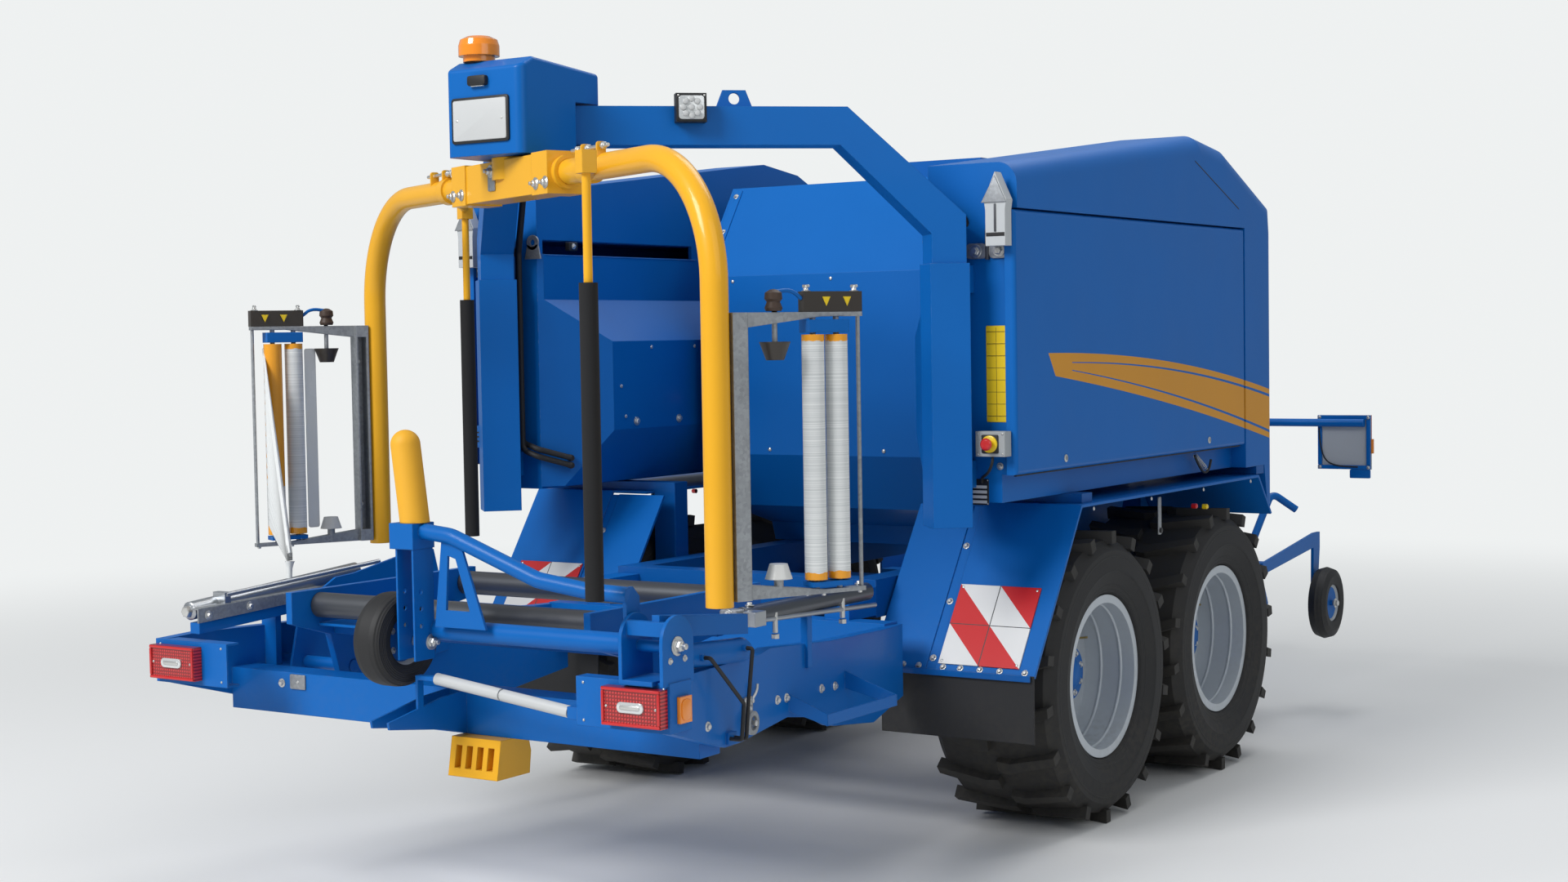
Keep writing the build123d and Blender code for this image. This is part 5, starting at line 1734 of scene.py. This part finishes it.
@dataclass
class CoverTrim(SubAssembly):
    """Latches at the foot of each cover and the rubber lip."""

    side_x: float = 1.420
    low: float = 1.553
    ends: tuple[float, float] = (-1.545, 0.915)

    def build(self) -> None:
        """Build the trim of both covers."""
        for side, name in SIDE_NAME.items():
            trim = self.shape("cover_trim_" + name)
            middle = sum(self.ends) / 2
            lip = facing(spot(side * (self.side_x - 0.022), middle, self.low), DOWN, (1, 0, 0))
            trim.prism(lip, rounded(self.ends[1] - self.ends[0] - 0.06, 0.012), 0.006, RUBBER)
            for y in (-1.10, 0.45):
                place = facing(spot(side * self.side_x, y, self.low + 0.045), (side, 0, 0))
                trim.turned(place, [(0.016, 0), (0.016, 0.003), (0.010, 0.005), (0, 0.005)], ZINC, 20)
                trim.prism(shifted(place, 0, 0, 0.005), rounded(0.004, 0.016), 0.001, BLACK)
            self.keep(trim, "cover_" + name)
        self.report()


@dataclass
class FenderTrim(SubAssembly):
    """Bolts on the slopes, board rivets, the mudflaps' strips and small side fittings."""

    foot: tuple[float, float] = SLOPE_FOOT
    slope: tuple[float, float] = SLOPE_WAY
    board_x: tuple[float, float] = (1.005, 1.375)
    board_run: tuple[float, float] = (0.030, 0.400)
    flap_x: tuple[float, float] = (0.745, 1.450)

    def on_slope(self, x: float, run: float, off: float = 0.0) -> Point:
        """Point on the sloping panel.

        Args:
            x: Place across.
            run: Distance up the slope.
            off: Distance out of it.

        Returns:
            The point.
        """
        y = self.foot[0] + run * self.slope[0] - off * self.slope[1]
        return spot(x, y, self.foot[1] + run * self.slope[1] + off * self.slope[0])

    def build(self) -> None:
        """Build the fenders' trim."""
        out = (0, -self.slope[1], self.slope[0])
        for side, name in SIDE_NAME.items():
            trim = self.shape("fender_bolts_" + name)
            for run in (0.057, 0.321, 0.587):
                trim.bolt(self.on_slope(side * 0.969, run, -0.006), out, 0.016)
            for x in (0.732, 0.842, 0.915, 1.030, 1.110, 1.200, 1.290, 1.403):
                trim.bolt(self.on_slope(side * x, 0.016), out, 0.015)
            for x in (self.board_x[0] + 0.014, self.board_x[1] - 0.014):
                for run in (self.board_run[0] + 0.014, self.board_run[1] - 0.014):
                    trim.round_head(self.on_slope(side * x, run, 0.0064), out, 0.006)
            for y in (-0.9, -0.3, 0.3, 0.9):
                trim.round_head(spot(side * 1.450, y, 1.375), (side, 0, 0), 0.008)
            self.keep(trim, "chassis")
            self._side_fittings(side, name)
        self.report()

    def _side_fittings(self, side: int, name: str) -> None:
        """Bracket with its grommet between the tyres, capped grease points and the flap's strip.

        Args:
            side: Right or left.
            name: The side's name.
        """
        trim = self.shape("side_fittings_" + name)
        bracket = facing(spot(side * 1.412, -0.130, 1.285), (side, 0, 0))
        trim.prism(bracket, rounded(0.030, 0.170, 0.006), 0.006, GALVANISED, 0.001)
        trim.turned(shifted(bracket, 0, -0.066, 0.006), [(0.012, 0), (0.012, 0.008), (0, 0.010)], BLACK, 16)
        for y, z, finish in ((0.255, 1.301, RED), (0.384, 1.289, LABEL)):
            trim.turned(
                facing(spot(side * 1.412, y, z), (side, 0, 0)),
                [(0.012, 0), (0.012, 0.022), (0.008, 0.026), (0, 0.026)],
                finish,
                16,
            )
        middle = sum(self.flap_x) / 2
        strip = facing(spot(side * middle, -1.4855, 0.735), BACK)
        # The strip takes the darker copy of the blue paint: painted shade
        trim.prism(
            strip, rounded(self.flap_x[1] - self.flap_x[0] - 0.02, 0.026, 0.004), 0.005, BLUE_SHADED, 0.001
        )
        self.keep(trim, "chassis", Slot.PAINT)


@dataclass
class WheelTrim(SubAssembly):
    """Nuts, hub cap and valve of the road wheels, and the small wheels' nuts."""

    track: float = 1.125
    axles: tuple[tuple[str, float], ...] = (("front", ROAD_AXLE[0]), ("rear", -ROAD_AXLE[0]))
    height: float = ROAD_AXLE[1]
    nuts: int = 10
    circle: float = 0.170
    barrel: float = 0.316
    gauge_face: float = 1.341

    def build(self) -> None:
        """Build the trim of every wheel."""
        for side, name in SIDE_NAME.items():
            for axle, y in self.axles:
                self._road_wheel(side, name, axle, y)
            self._gauge_wheel(side, name)
        self.report()

    def _road_wheel(self, side: int, name: str, axle: str, y: float) -> None:
        """Trim of one road wheel.

        Args:
            side: Right or left.
            name: The side's name.
            axle: The axle's name.
            y: The axle's distance from the tandem's middle.
        """
        trim = self.shape(f"wheel_trim_{axle}_{name}")
        centre = facing(spot(side * self.track, y, self.height), (side, 0, 0))
        for u, v in ring(self.circle, self.nuts):
            trim.bolt(centre @ Vector((u, v, 0.016)), (side, 0, 0), 0.030, stud=True)
        for depth in (0.085, 0.180):
            outer, inner = self.barrel + 0.001, self.barrel - 0.006
            bead = [(outer, depth), (inner, depth + 0.006), (inner, depth + 0.012), (outer, depth + 0.018)]
            trim.turned(centre, bead, SILVER, 64, loop=True)
        cap = [(0.062, 0.100), (0.062, 0.112), (0.052, 0.122), (0.020, 0.127), (0, 0.128)]
        trim.turned(centre, cap, BLUE, 28)
        for u, v in ring(0.092, 8, 0.3):
            trim.bolt(centre @ Vector((u, v, 0.100)), (side, 0, 0), 0.016)
        stem = [centre @ Vector((0.240, 0.120, 0.016)), centre @ Vector((0.250, 0.125, 0.060))]
        trim.tube(stem, 0.005, BRASS)
        self.keep(trim, f"wheel_{axle}_{name}")

    def _gauge_wheel(self, side: int, name: str) -> None:
        """Nut and washer on the outer face of one gauge wheel.

        Args:
            side: Right or left.
            name: The side's name.
        """
        trim = self.shape("gauge_wheel_nuts_" + name)
        place = facing(spot(side * self.gauge_face, *GAUGE_AXLE), (side, 0, 0))
        trim.turned(place, [(0.026, 0), (0.026, 0.004), (0, 0.004)], ZINC, 18)
        trim.turned(place, [(0.017, 0.004), (0.017, 0.016), (0.014, 0.019), (0, 0.019)], ZINC, 6)
        self.keep(trim, "gauge_wheel_" + name)


@dataclass
class TableTrim(SubAssembly):
    """Lamps' rims, bolts, the ring latch and the film clamps' fittings round the table."""

    lamp: Point = (1.085, -3.652, 0.9215)
    lamp_size: tuple[float, float] = (0.240, 0.127)
    side_start: tuple[float, float] = (1.215, -3.600)
    side_flare: float = 0.265 / 1.700

    def on_frame(self, y: float, z: float, off: float = 0.0) -> Point:
        """Point on the outside of the right side frame.

        Args:
            y: Distance from the tandem's middle.
            z: Height.
            off: Distance out of the face.

        Returns:
            The point.
        """
        x, start = self.side_start
        return spot(x - (y - start) * self.side_flare + off, y, z)

    def build(self) -> None:
        """Build the table's trim."""
        for side, name in SIDE_NAME.items():
            self._lamp(side, name)
            self._side_bolts(side, name)
        self._latch()
        self._clamps()
        self._cylinder()
        self.report()

    def _lamp(self, side: int, name: str) -> None:
        """Rim, silver oval and corner screws of one rear lamp, with its marker's rim.

        Args:
            side: Right or left.
            name: The side's name.
        """
        x, y, z = self.lamp
        width, height = self.lamp_size
        trim = self.shape("lamp_trim_" + name)
        place = facing(spot(side * x, y, z), BACK)
        for dy in (-1, 1):
            at = shifted(place, 0, dy * (height / 2 - 0.006), 0)
            trim.prism(at, rounded(width - 0.004, 0.010, 0.004), 0.005, RED, 0.0015)
        for dx in (-1, 1):
            at = shifted(place, dx * (width / 2 - 0.007), 0, 0)
            trim.prism(at, rounded(0.010, height - 0.024, 0.004), 0.005, RED, 0.0015)
        trim.prism(place, rounded(0.108, 0.036, 0.017), 0.006, GLASS, 0.002)
        trim.prism(shifted(place, 0, 0, 0.006), rounded(0.080, 0.014, 0.006), 0.002, ZINC, 0.0005)
        for dx in (-0.100, 0.100):
            trim.round_head(place @ Vector((dx, 0, 0)), BACK, 0.005)
        marker = facing(spot(side * 1.229, -3.5425, 0.9115), (side, 0, 0))
        trim.prism(marker, rounded(0.050, 0.070, 0.020), 0.004, AMBER, 0.0015)
        self.keep(trim, "chassis", Slot.PLASTIC)

    def _side_bolts(self, side: int, name: str) -> None:
        """Bolts on the outside of one side frame and on its cam plates.

        Args:
            side: Right or left.
            name: The side's name.
        """
        trim = self.shape("table_bolts_" + name)
        out = (side, 0, 0)
        for y, z in (
            (-2.398, 0.800), (-2.269, 0.790), (-2.156, 0.780), (-2.792, 0.820), (-2.714, 0.815), (-3.35, 0.82)
        ):
            point = self.on_frame(y, z)
            trim.bolt((side * point[0], point[1], point[2]), out, 0.018)
        if side == RIGHT:
            for x, way in ((1.210, RIGHT), (1.030, LEFT)):
                trim.bolt(spot(x, -3.562, 1.120), (way, 0, 0), 0.034, stud=True)
                for y in (-3.600, -3.520):
                    trim.bolt(spot(x, y, 1.075), (way, 0, 0), 0.012)
        else:
            plate = facing(spot(-0.758, -3.320, 0.826), BACK)
            trim.prism(plate, rounded(0.080, 0.056, 0.004), 0.006, GALVANISED, 0.001)
            trim.round_head(plate @ Vector((0, 0, 0.006)), BACK, 0.006)
            trim.bolt(spot(-0.846, -3.320, 0.816), BACK, 0.018)
        for x in (0.860, 1.190):
            for z in (0.858, 0.984):
                trim.round_head(spot(side * x, -3.612, z), BACK, 0.005)
        self.keep(trim, "chassis")

    def _latch(self) -> None:
        """Ring latch with its bolts on the right side frame."""
        trim = self.shape("ring_latch")
        point = self.on_frame(-3.045, 0.812)
        place = facing(point, (1, 0.15, 0))
        trim.prism(place, rounded(0.070, 0.120, 0.014), 0.008, GALVANISED, 0.001)
        hoop = shifted(place, 0, -0.030, 0.016)
        trim.turned(
            hoop, [(0.026, 0.0), (0.042, 0.0), (0.042, 0.012), (0.026, 0.012)], GALVANISED, 24, loop=True
        )
        trim.turned(shifted(place, 0, -0.030, 0.008), [(0.010, 0), (0.010, 0.030), (0, 0.032)], ZINC, 16)
        for u, v in ((-0.020, 0.044), (0.020, 0.044), (0.0, 0.018)):
            trim.bolt(place @ Vector((u, v, 0.008)), (1, 0.15, 0), 0.016)
        handle = [
            place @ Vector(p) for p in ((0.020, 0.05, 0.012), (0.040, 0.075, 0.020), (0.046, 0.100, 0.020))
        ]
        trim.tube(handle, 0.006, ZINC)
        self.keep(trim, "chassis")

    def _clamps(self) -> None:
        """End nuts, stems and bolted profiles of the two film clamps."""
        trim = self.shape("clamp_fittings")
        for y in (-2.900, -2.500, -2.150):
            trim.bolt(spot(1.050, y, 1.169), UP, 0.018)
        for y in (-2.780, -2.320):
            trim.tube([spot(1.078, y, 1.134), spot(1.078, y, 1.060)], 0.010, ZINC)
            trim.turned(
                facing(spot(1.078, y, 1.055), DOWN), [(0.016, 0), (0.016, 0.016), (0, 0.016)], ZINC, 6
            )
        block = facing(spot(1.050, -2.985, 1.134), BACK)
        trim.prism(block, rounded(0.074, 0.070, 0.010), 0.050, GALVANISED, 0.003)
        trim.bolt(block @ Vector((0, 0.018, 0.050)), BACK, 0.020)
        trim.bolt(block @ Vector((0, -0.018, 0.050)), BACK, 0.016)
        self.keep(trim, "chassis")
        self._left_profile()

    def _left_profile(self) -> None:
        """Left clamp's longer end, its angle profile with bolts and the blue bar under it."""
        trim = self.shape("clamp_profile")
        end = facing(spot(-1.050, -3.500, 1.120), (0, -0.800, -0.060))
        sleeve = [(0.0352, -0.020), (0.0352, 0.088), (0.026, 0.094), (0, 0.094)]
        trim.turned(end, sleeve, STEEL, 28)
        trim.turned(
            shifted(end, 0, 0, 0.094), [(0.024, 0), (0.024, 0.006), (0.020, 0.018), (0, 0.020)], ZINC, 6
        )
        angle = facing(spot(-0.984, -3.600, 1.000), (1, 0, 0))
        face = [(-0.010, 0.072), (0.640, 0.106), (0.640, 0.146), (-0.010, 0.128)]
        trim.prism(angle, face, 0.006, GALVANISED, 0.001)
        flange = [(-0.010, 0.122), (0.640, 0.140), (0.640, 0.146), (-0.010, 0.128)]
        trim.prism(shifted(angle, 0, 0, -0.040), flange, 0.040, GALVANISED)
        for y, z in ((0.040, 0.098), (0.250, 0.110), (0.480, 0.122)):
            trim.bolt(angle @ Vector((y, z, 0.006)), (1, 0, 0), 0.018)
        bar = [(0.010, 0.028), (0.620, 0.062), (0.620, 0.104), (0.010, 0.070)]
        trim.prism(shifted(angle, 0, 0, -0.062), bar, 0.050, BLUE, 0.002)
        self.keep(trim, "chassis")

    def _cylinder(self) -> None:
        """Gland rings of the right film clamp's cylinder."""
        trim = self.shape("cylinder_trim")
        for y in (-3.440, -3.400):
            ring_at = facing(spot(1.150, y, 1.060), BACK)
            trim.turned(
                ring_at, [(0.020, 0.0), (0.033, 0.0), (0.033, 0.012), (0.020, 0.012)], ZINC, 20, loop=True
            )
        self.keep(trim, "chassis")


@dataclass
class TipperTrim(SubAssembly):
    """Pins with rings, nuts and washers on the tipper's fork, and the nuts of its wheel."""

    wheel: Point = spot(-0.010, *TIPPER_AXLE)

    def build(self) -> None:
        """Build the tipper's trim."""
        trim = self.shape("tipper_axle")
        y, z = TIPPER_AXLE
        trim.turned(
            facing(spot(0.084, y, z), (1, 0, 0)),
            [(0.021, 0), (0.021, 0.030), (0.017, 0.032), (0, 0.032)],
            ZINC,
            20,
        )
        trim.turned(
            facing(spot(0.149, y, z), (-1, 0, 0)),
            [(0.021, 0), (0.021, 0.024), (0.017, 0.026), (0, 0.026)],
            ZINC,
            20,
        )
        trim.bolt(spot(0.158, y, z), (1, 0, 0), 0.030, stud=True)
        self.keep(trim, "tipper")
        nuts = self.shape("tipper_wheel_nuts")
        for out in (RIGHT, LEFT):
            x, y, z = self.wheel
            place = facing((x + out * 0.030, y, z), (out, 0, 0))
            for u, v in ring(0.058, 5):
                nuts.bolt(place @ Vector((u, v, 0)), (out, 0, 0), 0.013)
        self.keep(nuts, "tipper_wheel")
        self.report()


@dataclass
class ChamberTrim(SubAssembly):
    """Bolts, reflectors and the seam strip on the tailgate and the chamber."""

    face: float = -0.627
    front: float = 1.050
    front_z: tuple[float, float] = (1.400, 2.560)

    def build(self) -> None:
        """Build the chamber's trim."""
        trim = self.shape("tailgate_bolts")
        for x, z in (
            (-0.353, 1.585), (0.273, 1.585), (-0.66, 1.66), (0.66, 1.66), (-0.66, 2.34), (0.66, 2.34)
        ):
            trim.round_head(spot(x, self.face, z), BACK, 0.010)
        for x in (-0.55, 0.0, 0.55):
            trim.round_head(spot(x, self.face, 2.385), BACK, 0.009)
        for side in (RIGHT, LEFT):
            place = facing(spot(side * 0.705, self.face, 1.827), BACK)
            trim.turned(place, [(0.034, 0), (0.034, 0.006), (0.030, 0.009), (0, 0.010)], WHITE, 28)
            trim.turned(shifted(place, 0, 0, 0.0095), [(0.024, 0), (0.022, 0.003), (0, 0.004)], RED, 28)
        self.keep(trim, "tailgate")
        self._slope_seam()
        self._front_face()
        self.report()

    def _front_face(self) -> None:
        """Folded ribs, a louvred service flap with its latches and the edge bolts of the front face."""
        trim = self.shape("chamber_front_trim")
        middle = (self.front_z[0] + self.front_z[1]) / 2
        tall = self.front_z[1] - self.front_z[0]
        for side in (RIGHT, LEFT):
            rib = facing(spot(side * 0.400, self.front, middle), FORWARD)
            trim.prism(rib, rounded(0.060, tall * 0.94, 0.012), 0.014, BLUE, 0.006)
            for step in range(6):
                place = spot(side * 0.712, self.front, self.front_z[0] + tall * (0.06 + 0.176 * step))
                trim.bolt(place, FORWARD, 0.016)
        flap = facing(spot(0.0, self.front, middle + 0.12), FORWARD)
        trim.prism(flap, rounded(0.560, 0.620, 0.030), 0.008, BLUE, 0.003)
        for step in range(7):
            slat = shifted(flap, 0, -0.180 + 0.060 * step, 0.008)
            # The slats take the darker copy of the blue paint: painted shade on the louvres
            trim.prism(slat, rounded(0.380, 0.022, 0.010), 0.007, BLUE_SHADED, 0.003)
        for x, z in ((-0.245, -0.27), (0.245, -0.27), (-0.245, 0.27), (0.245, 0.27)):
            latch = shifted(flap, x, z, 0.008)
            trim.turned(latch, [(0.016, 0), (0.016, 0.006), (0.013, 0.009), (0, 0.009)], BLACK, 20)
        plate = facing(spot(0.560, self.front, 1.560), FORWARD)
        trim.prism(plate, rounded(0.110, 0.070, 0.006), 0.002, GALVANISED)
        self.keep(trim, "chassis", Slot.PAINT)

    def _slope_seam(self) -> None:
        """Folded strips along both edges of the tailgate's upper slope."""
        strips = self.shape("slope_strips")
        low, high = Vector((self.face, 2.410)), Vector((-0.330, 2.850))
        run = high - low
        out = Vector((0, -run.y, run.x)).normalized()
        for side in (RIGHT, LEFT):
            mid = (low + high) / 2
            place = facing(spot(side * 0.700, mid.x, mid.y), out, (0, run.x, run.y))
            strips.prism(place, rounded(0.050, run.length * 0.94, 0.004), 0.005, BLUE, 0.0015)
            for go in (-0.4, 0.0, 0.4):
                strips.bolt(place @ Vector((0, run.length * go, 0.005)), out, 0.014)
        self.keep(strips, "tailgate", Slot.PAINT)


@dataclass
class FrontTrim(SubAssembly):
    """Board frames at the front, drawbar bolts, the stand's pin, the shaft guard, the hose holder and the
    housings' front flaps.
    """

    board: tuple[float, float, float, float] = (1.190, 1.490, 1.330, 1.632)
    board_y: float = 2.6224
    column: float = 1.320
    holder: float = 2.250

    def build(self) -> None:
        """Build the front's trim."""
        for side, name in SIDE_NAME.items():
            self._board(side, name)
        self._drawbar()
        self._stand()
        self._shaft_guard()
        self._couplings()
        for side, name in SIDE_NAME.items():
            self._housing_front(side, name)
        self.report()

    def _housing_front(self, side: int, name: str) -> None:
        """Flap with hinges and a latch, and the bolts, on the front face of one housing.

        Args:
            side: Right or left.
            name: The side's name.
        """
        trim = self.shape("housing_front_" + name)
        flap = facing(spot(side * 1.195, self.column, 1.900), FORWARD)
        trim.prism(flap, rounded(0.250, 0.900, 0.020), 0.007, BLUE, 0.003)
        for z in (-0.34, 0.34):
            hinge = shifted(flap, -0.125 * side, z, 0.006)
            trim.prism(hinge, rounded(0.034, 0.070, 0.008), 0.008, DARK, 0.002)
        latch = shifted(flap, 0.092 * side, 0.0, 0.007)
        trim.prism(latch, rounded(0.036, 0.110, 0.012), 0.010, BLACK, 0.003)
        for z in (1.285, 2.500):
            for x in (1.060, 1.320):
                trim.bolt(spot(side * x, self.column, z), FORWARD, 0.016)
        self.keep(trim, "chassis", Slot.PAINT)

    def _couplings(self) -> None:
        """Holder for the tractor's hoses on the drawbar, with its capped sockets."""
        trim = self.shape("hose_holder")
        foot = facing(spot(0.0, self.holder, 1.142), UP)
        trim.prism(foot, rounded(0.120, 0.090, 0.008), 0.016, GALVANISED, 0.002)
        plate = facing(spot(0.0, self.holder, 1.240), FORWARD)
        trim.prism(plate, rounded(0.290, 0.170, 0.018), 0.006, GALVANISED, 0.002)
        for place, finish in enumerate((RED, BLUE, YELLOW, RED, BLUE, BLACK)):
            x, z = (place % 3 - 1) * 0.085, (place // 3) * 0.070 - 0.025
            socket = shifted(plate, x, z, 0.006)
            trim.turned(socket, [(0.020, 0), (0.020, 0.030), (0.016, 0.036), (0, 0.037)], finish, 20)
        self.keep(trim, "chassis", Slot.STEEL)

    def _board(self, side: int, name: str) -> None:
        """Blue frame bars, corner bolts, lower bracket and cable behind one board.

        Args:
            side: Right or left.
            name: The side's name.
        """
        low, high, foot, top = self.board
        trim = self.shape("board_frame_" + name)
        middle = (low + high) / 2
        for z in (foot + 0.012, top - 0.012):
            place = facing(spot(side * middle, self.board_y, z), BACK)
            trim.prism(place, rounded(high - low, 0.022, 0.003), 0.012, BLUE, 0.0015)
        for x in (low + 0.012, high - 0.012):
            place = facing(spot(side * x, self.board_y, (foot + top) / 2), BACK)
            trim.prism(place, rounded(0.022, top - foot - 0.050, 0.003), 0.012, BLUE, 0.0015)
            for z in (foot + 0.012, top - 0.012):
                trim.bolt(spot(side * x, self.board_y - 0.012, z), BACK, 0.010)
        bracket = facing(spot(side * 1.430, self.board_y, foot - 0.024), BACK)
        trim.prism(bracket, rounded(0.115, 0.048, 0.006), 0.012, BLUE, 0.0015)
        cable = [spot(side * x, self.board_y + y, z) for x, y, z in (
            (1.200, -0.016, 1.560), (1.206, -0.020, 1.480), (1.230, -0.018, 1.380), (1.300, -0.016, 1.348),
            (1.420, -0.016, 1.345),
        )]
        trim.tube(cable, 0.004, RUBBER, 8)
        self.keep(trim, "chassis", Slot.PAINT)

    def _drawbar(self) -> None:
        """Bolts on the drawbar's flanges."""
        trim = self.shape("drawbar_bolts")
        for side in (RIGHT, LEFT):
            for y in (3.72, 3.80, 3.88):
                trim.bolt(spot(side * 0.040, y, 0.628), UP, 0.016)
        self.keep(trim, "chassis")

    def _shaft_guard(self) -> None:
        """Rolled rim of the drive shaft's guard, with its screws."""
        guard = self.shape("shaft_guard")
        place = facing(spot(0.0, 1.505, 1.300), FORWARD)
        rim = [
            (0.089, 0.0),
            (0.097, 0.004),
            (0.098, 0.018),
            (0.092, 0.024),
            (0.071, 0.020),
            (0.071, 0.0145),
            (0.089, 0.0145),
        ]
        guard.turned(place, rim, BLACK, 36, loop=True)
        for x, z in ring(0.081, 4, 0.785):
            guard.round_head(place @ Vector((x, z, 0.021)), FORWARD, 0.006)
        self.keep(guard, "chassis", Slot.PLASTIC)

    def _stand(self) -> None:
        """Locking pin and ring of the parking stand."""
        trim = self.shape("stand_pin")
        low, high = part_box("stand_sleeve")
        y, x = (low[1] + high[1]) / 2, low[0]
        trim.turned(
            facing((x, y, 0.95), (-1, 0, 0)),
            [(0.012, 0), (0.012, 0.030), (0.016, 0.034), (0, 0.040)],
            ZINC,
            16,
        )
        trim.tube([(x - 0.036, y, 0.95), (x - 0.040, y, 0.91), (x - 0.020, y, 0.87)], 0.003, ZINC, 8)
        self.keep(trim, "chassis")


@dataclass(frozen=True)
class Lamp:
    """One large soft lamp.

    Args:
        name: Lamp name.
        place: Where it hangs.
        target: Point that it looks at.
        size: Edge of its square.
        power: Power in watts.
    """

    name: str
    place: Point
    target: Point
    size: float
    power: float


@dataclass
class Studio:
    """Floor, light and the camera at the photograph's angle."""

    eye: Point = (5.347, -9.264 + TANDEM_Y, 2.111)
    azimuth: float = 33.049
    pitch: float = -2.696
    roll: float = -0.940
    lens: float = 50.104
    floor_size: float = 90.0
    ground: Colour = (0.74, 0.74, 0.73)
    sky: Colour = (0.80, 0.86, 0.92)
    pale: Colour = (0.86, 0.88, 0.88)
    sky_strength: float = 0.42
    pale_strength: float = 1.0
    floor_fade: tuple[float, float] = (3.5, 13.0)
    lamps: tuple[Lamp, ...] = (
        Lamp("key", (-4.2, -17.5, 13.5), (0, -0.8, 1.2), 8.0, 3500.0),
        Lamp("fill", (8.0, -5.0, 6.0), (0.8, -1.0, 1.3), 6.0, 130.0),
        Lamp("top", (1.0, 3.0, 10.0), (0, 0.0, 1.0), 6.0, 380.0),
    )

    def build(self) -> None:
        """Set up the whole studio."""
        self._floor()
        self._world()
        self._lights()
        self._camera()
        bpy.context.scene.view_settings.view_transform = "Standard"
        LOG.info("Studio: floor, world, lights and camera")

    def _floor(self) -> None:
        """Plain pale floor."""
        mesh = bpy.data.meshes.new("floor")
        half = self.floor_size / 2
        corners = [(-half, -half, 0), (half, -half, 0), (half, half, 0), (-half, half, 0)]
        mesh.from_pydata(corners, [], [(0, 1, 2, 3)])
        floor = bpy.data.objects.new("floor", mesh)
        bpy.context.scene.collection.objects.link(floor)
        material = bpy.data.materials.new("floor")
        material.use_nodes = True
        t = NodeTree(material.node_tree)
        shader, view = t.add("ShaderNodeBsdfPrincipled"), t.add("ShaderNodeEmission")
        t.link(self.ground, shader.inputs["Base Color"])
        t.link(0.9, shader.inputs["Roughness"])
        t.link(self.pale, view.inputs["Color"])
        x, y, _ = t.place()
        away = t.math("SQRT", t.total(t.both(x, x), t.both(y, y)))
        far = t.both(t.ramp(away, *self.floor_fade), t.add("ShaderNodeLightPath").outputs["Is Camera Ray"])
        t.link(t.blend(far, shader, view), t.add("ShaderNodeOutputMaterial").inputs["Surface"])
        mesh.materials.append(material)

    def _world(self) -> None:
        """Soft even light, with a pale background behind the object."""
        world = bpy.data.worlds.new("studio")
        bpy.context.scene.world = world
        world.use_nodes = True
        t = NodeTree(world.node_tree)
        path = t.add("ShaderNodeLightPath")
        seen = t.math("MAXIMUM", path.outputs["Is Camera Ray"], path.outputs["Is Transmission Ray"])
        light, view = t.add("ShaderNodeBackground"), t.add("ShaderNodeBackground")
        t.link(self.sky, light.inputs["Color"])
        t.link(self.sky_strength, light.inputs["Strength"])
        t.link(self.pale, view.inputs["Color"])
        t.link(self.pale_strength, view.inputs["Strength"])
        t.link(t.blend(seen, light, view), t.add("ShaderNodeOutputWorld").inputs["Surface"])

    def _lights(self) -> None:
        """Large soft lamps: a high key, a fill and a top light."""
        for lamp in self.lamps:
            light = bpy.data.lights.new(lamp.name, "AREA")
            light.size = lamp.size
            light.energy = lamp.power
            obj = bpy.data.objects.new(lamp.name, light)
            obj.location = lamp.place
            way = Vector(lamp.target) - Vector(lamp.place)
            obj.rotation_euler = way.to_track_quat("-Z", "Y").to_euler()
            bpy.context.scene.collection.objects.link(obj)

    def _camera(self) -> None:
        """Camera at the photograph's angle."""
        turn, dip, tilt = (math.radians(a) for a in (self.azimuth, self.pitch, self.roll))
        flat = Vector((-math.sin(turn), math.cos(turn), 0))
        side = Vector((math.cos(turn), math.sin(turn), 0))
        upright = Vector((0, 0, 1))
        ahead = flat * math.cos(dip) + upright * math.sin(dip)
        above = upright * math.cos(dip) - flat * math.sin(dip)
        right = side * math.cos(tilt) + above * math.sin(tilt)
        up = above * math.cos(tilt) - side * math.sin(tilt)
        camera = bpy.data.cameras.new("camera")
        camera.lens = self.lens
        camera.sensor_width = 36.0
        camera.clip_end = 300.0
        obj = bpy.data.objects.new("camera", camera)
        turned = Matrix((right, up, -ahead)).transposed().to_4x4()
        obj.matrix_world = Matrix.Translation(self.eye) @ turned
        bpy.context.scene.collection.objects.link(obj)
        bpy.context.scene.camera = obj


def main() -> None:
    """Dress the frame, one sub-assembly after another."""
    logging.basicConfig(level=logging.INFO)
    library = MaterialLibrary()
    CadCoats(library).build()
    for kind in (
        GantryTrim,
        RotorTrim,
        FilmFrameTrim,
        HousingTrim,
        CoverTrim,
        FenderTrim,
        WheelTrim,
        TableTrim,
        TipperTrim,
        ChamberTrim,
        FrontTrim,
    ):
        kind(library).build()
    Studio().build()


if __name__ == "__main__":
    main()
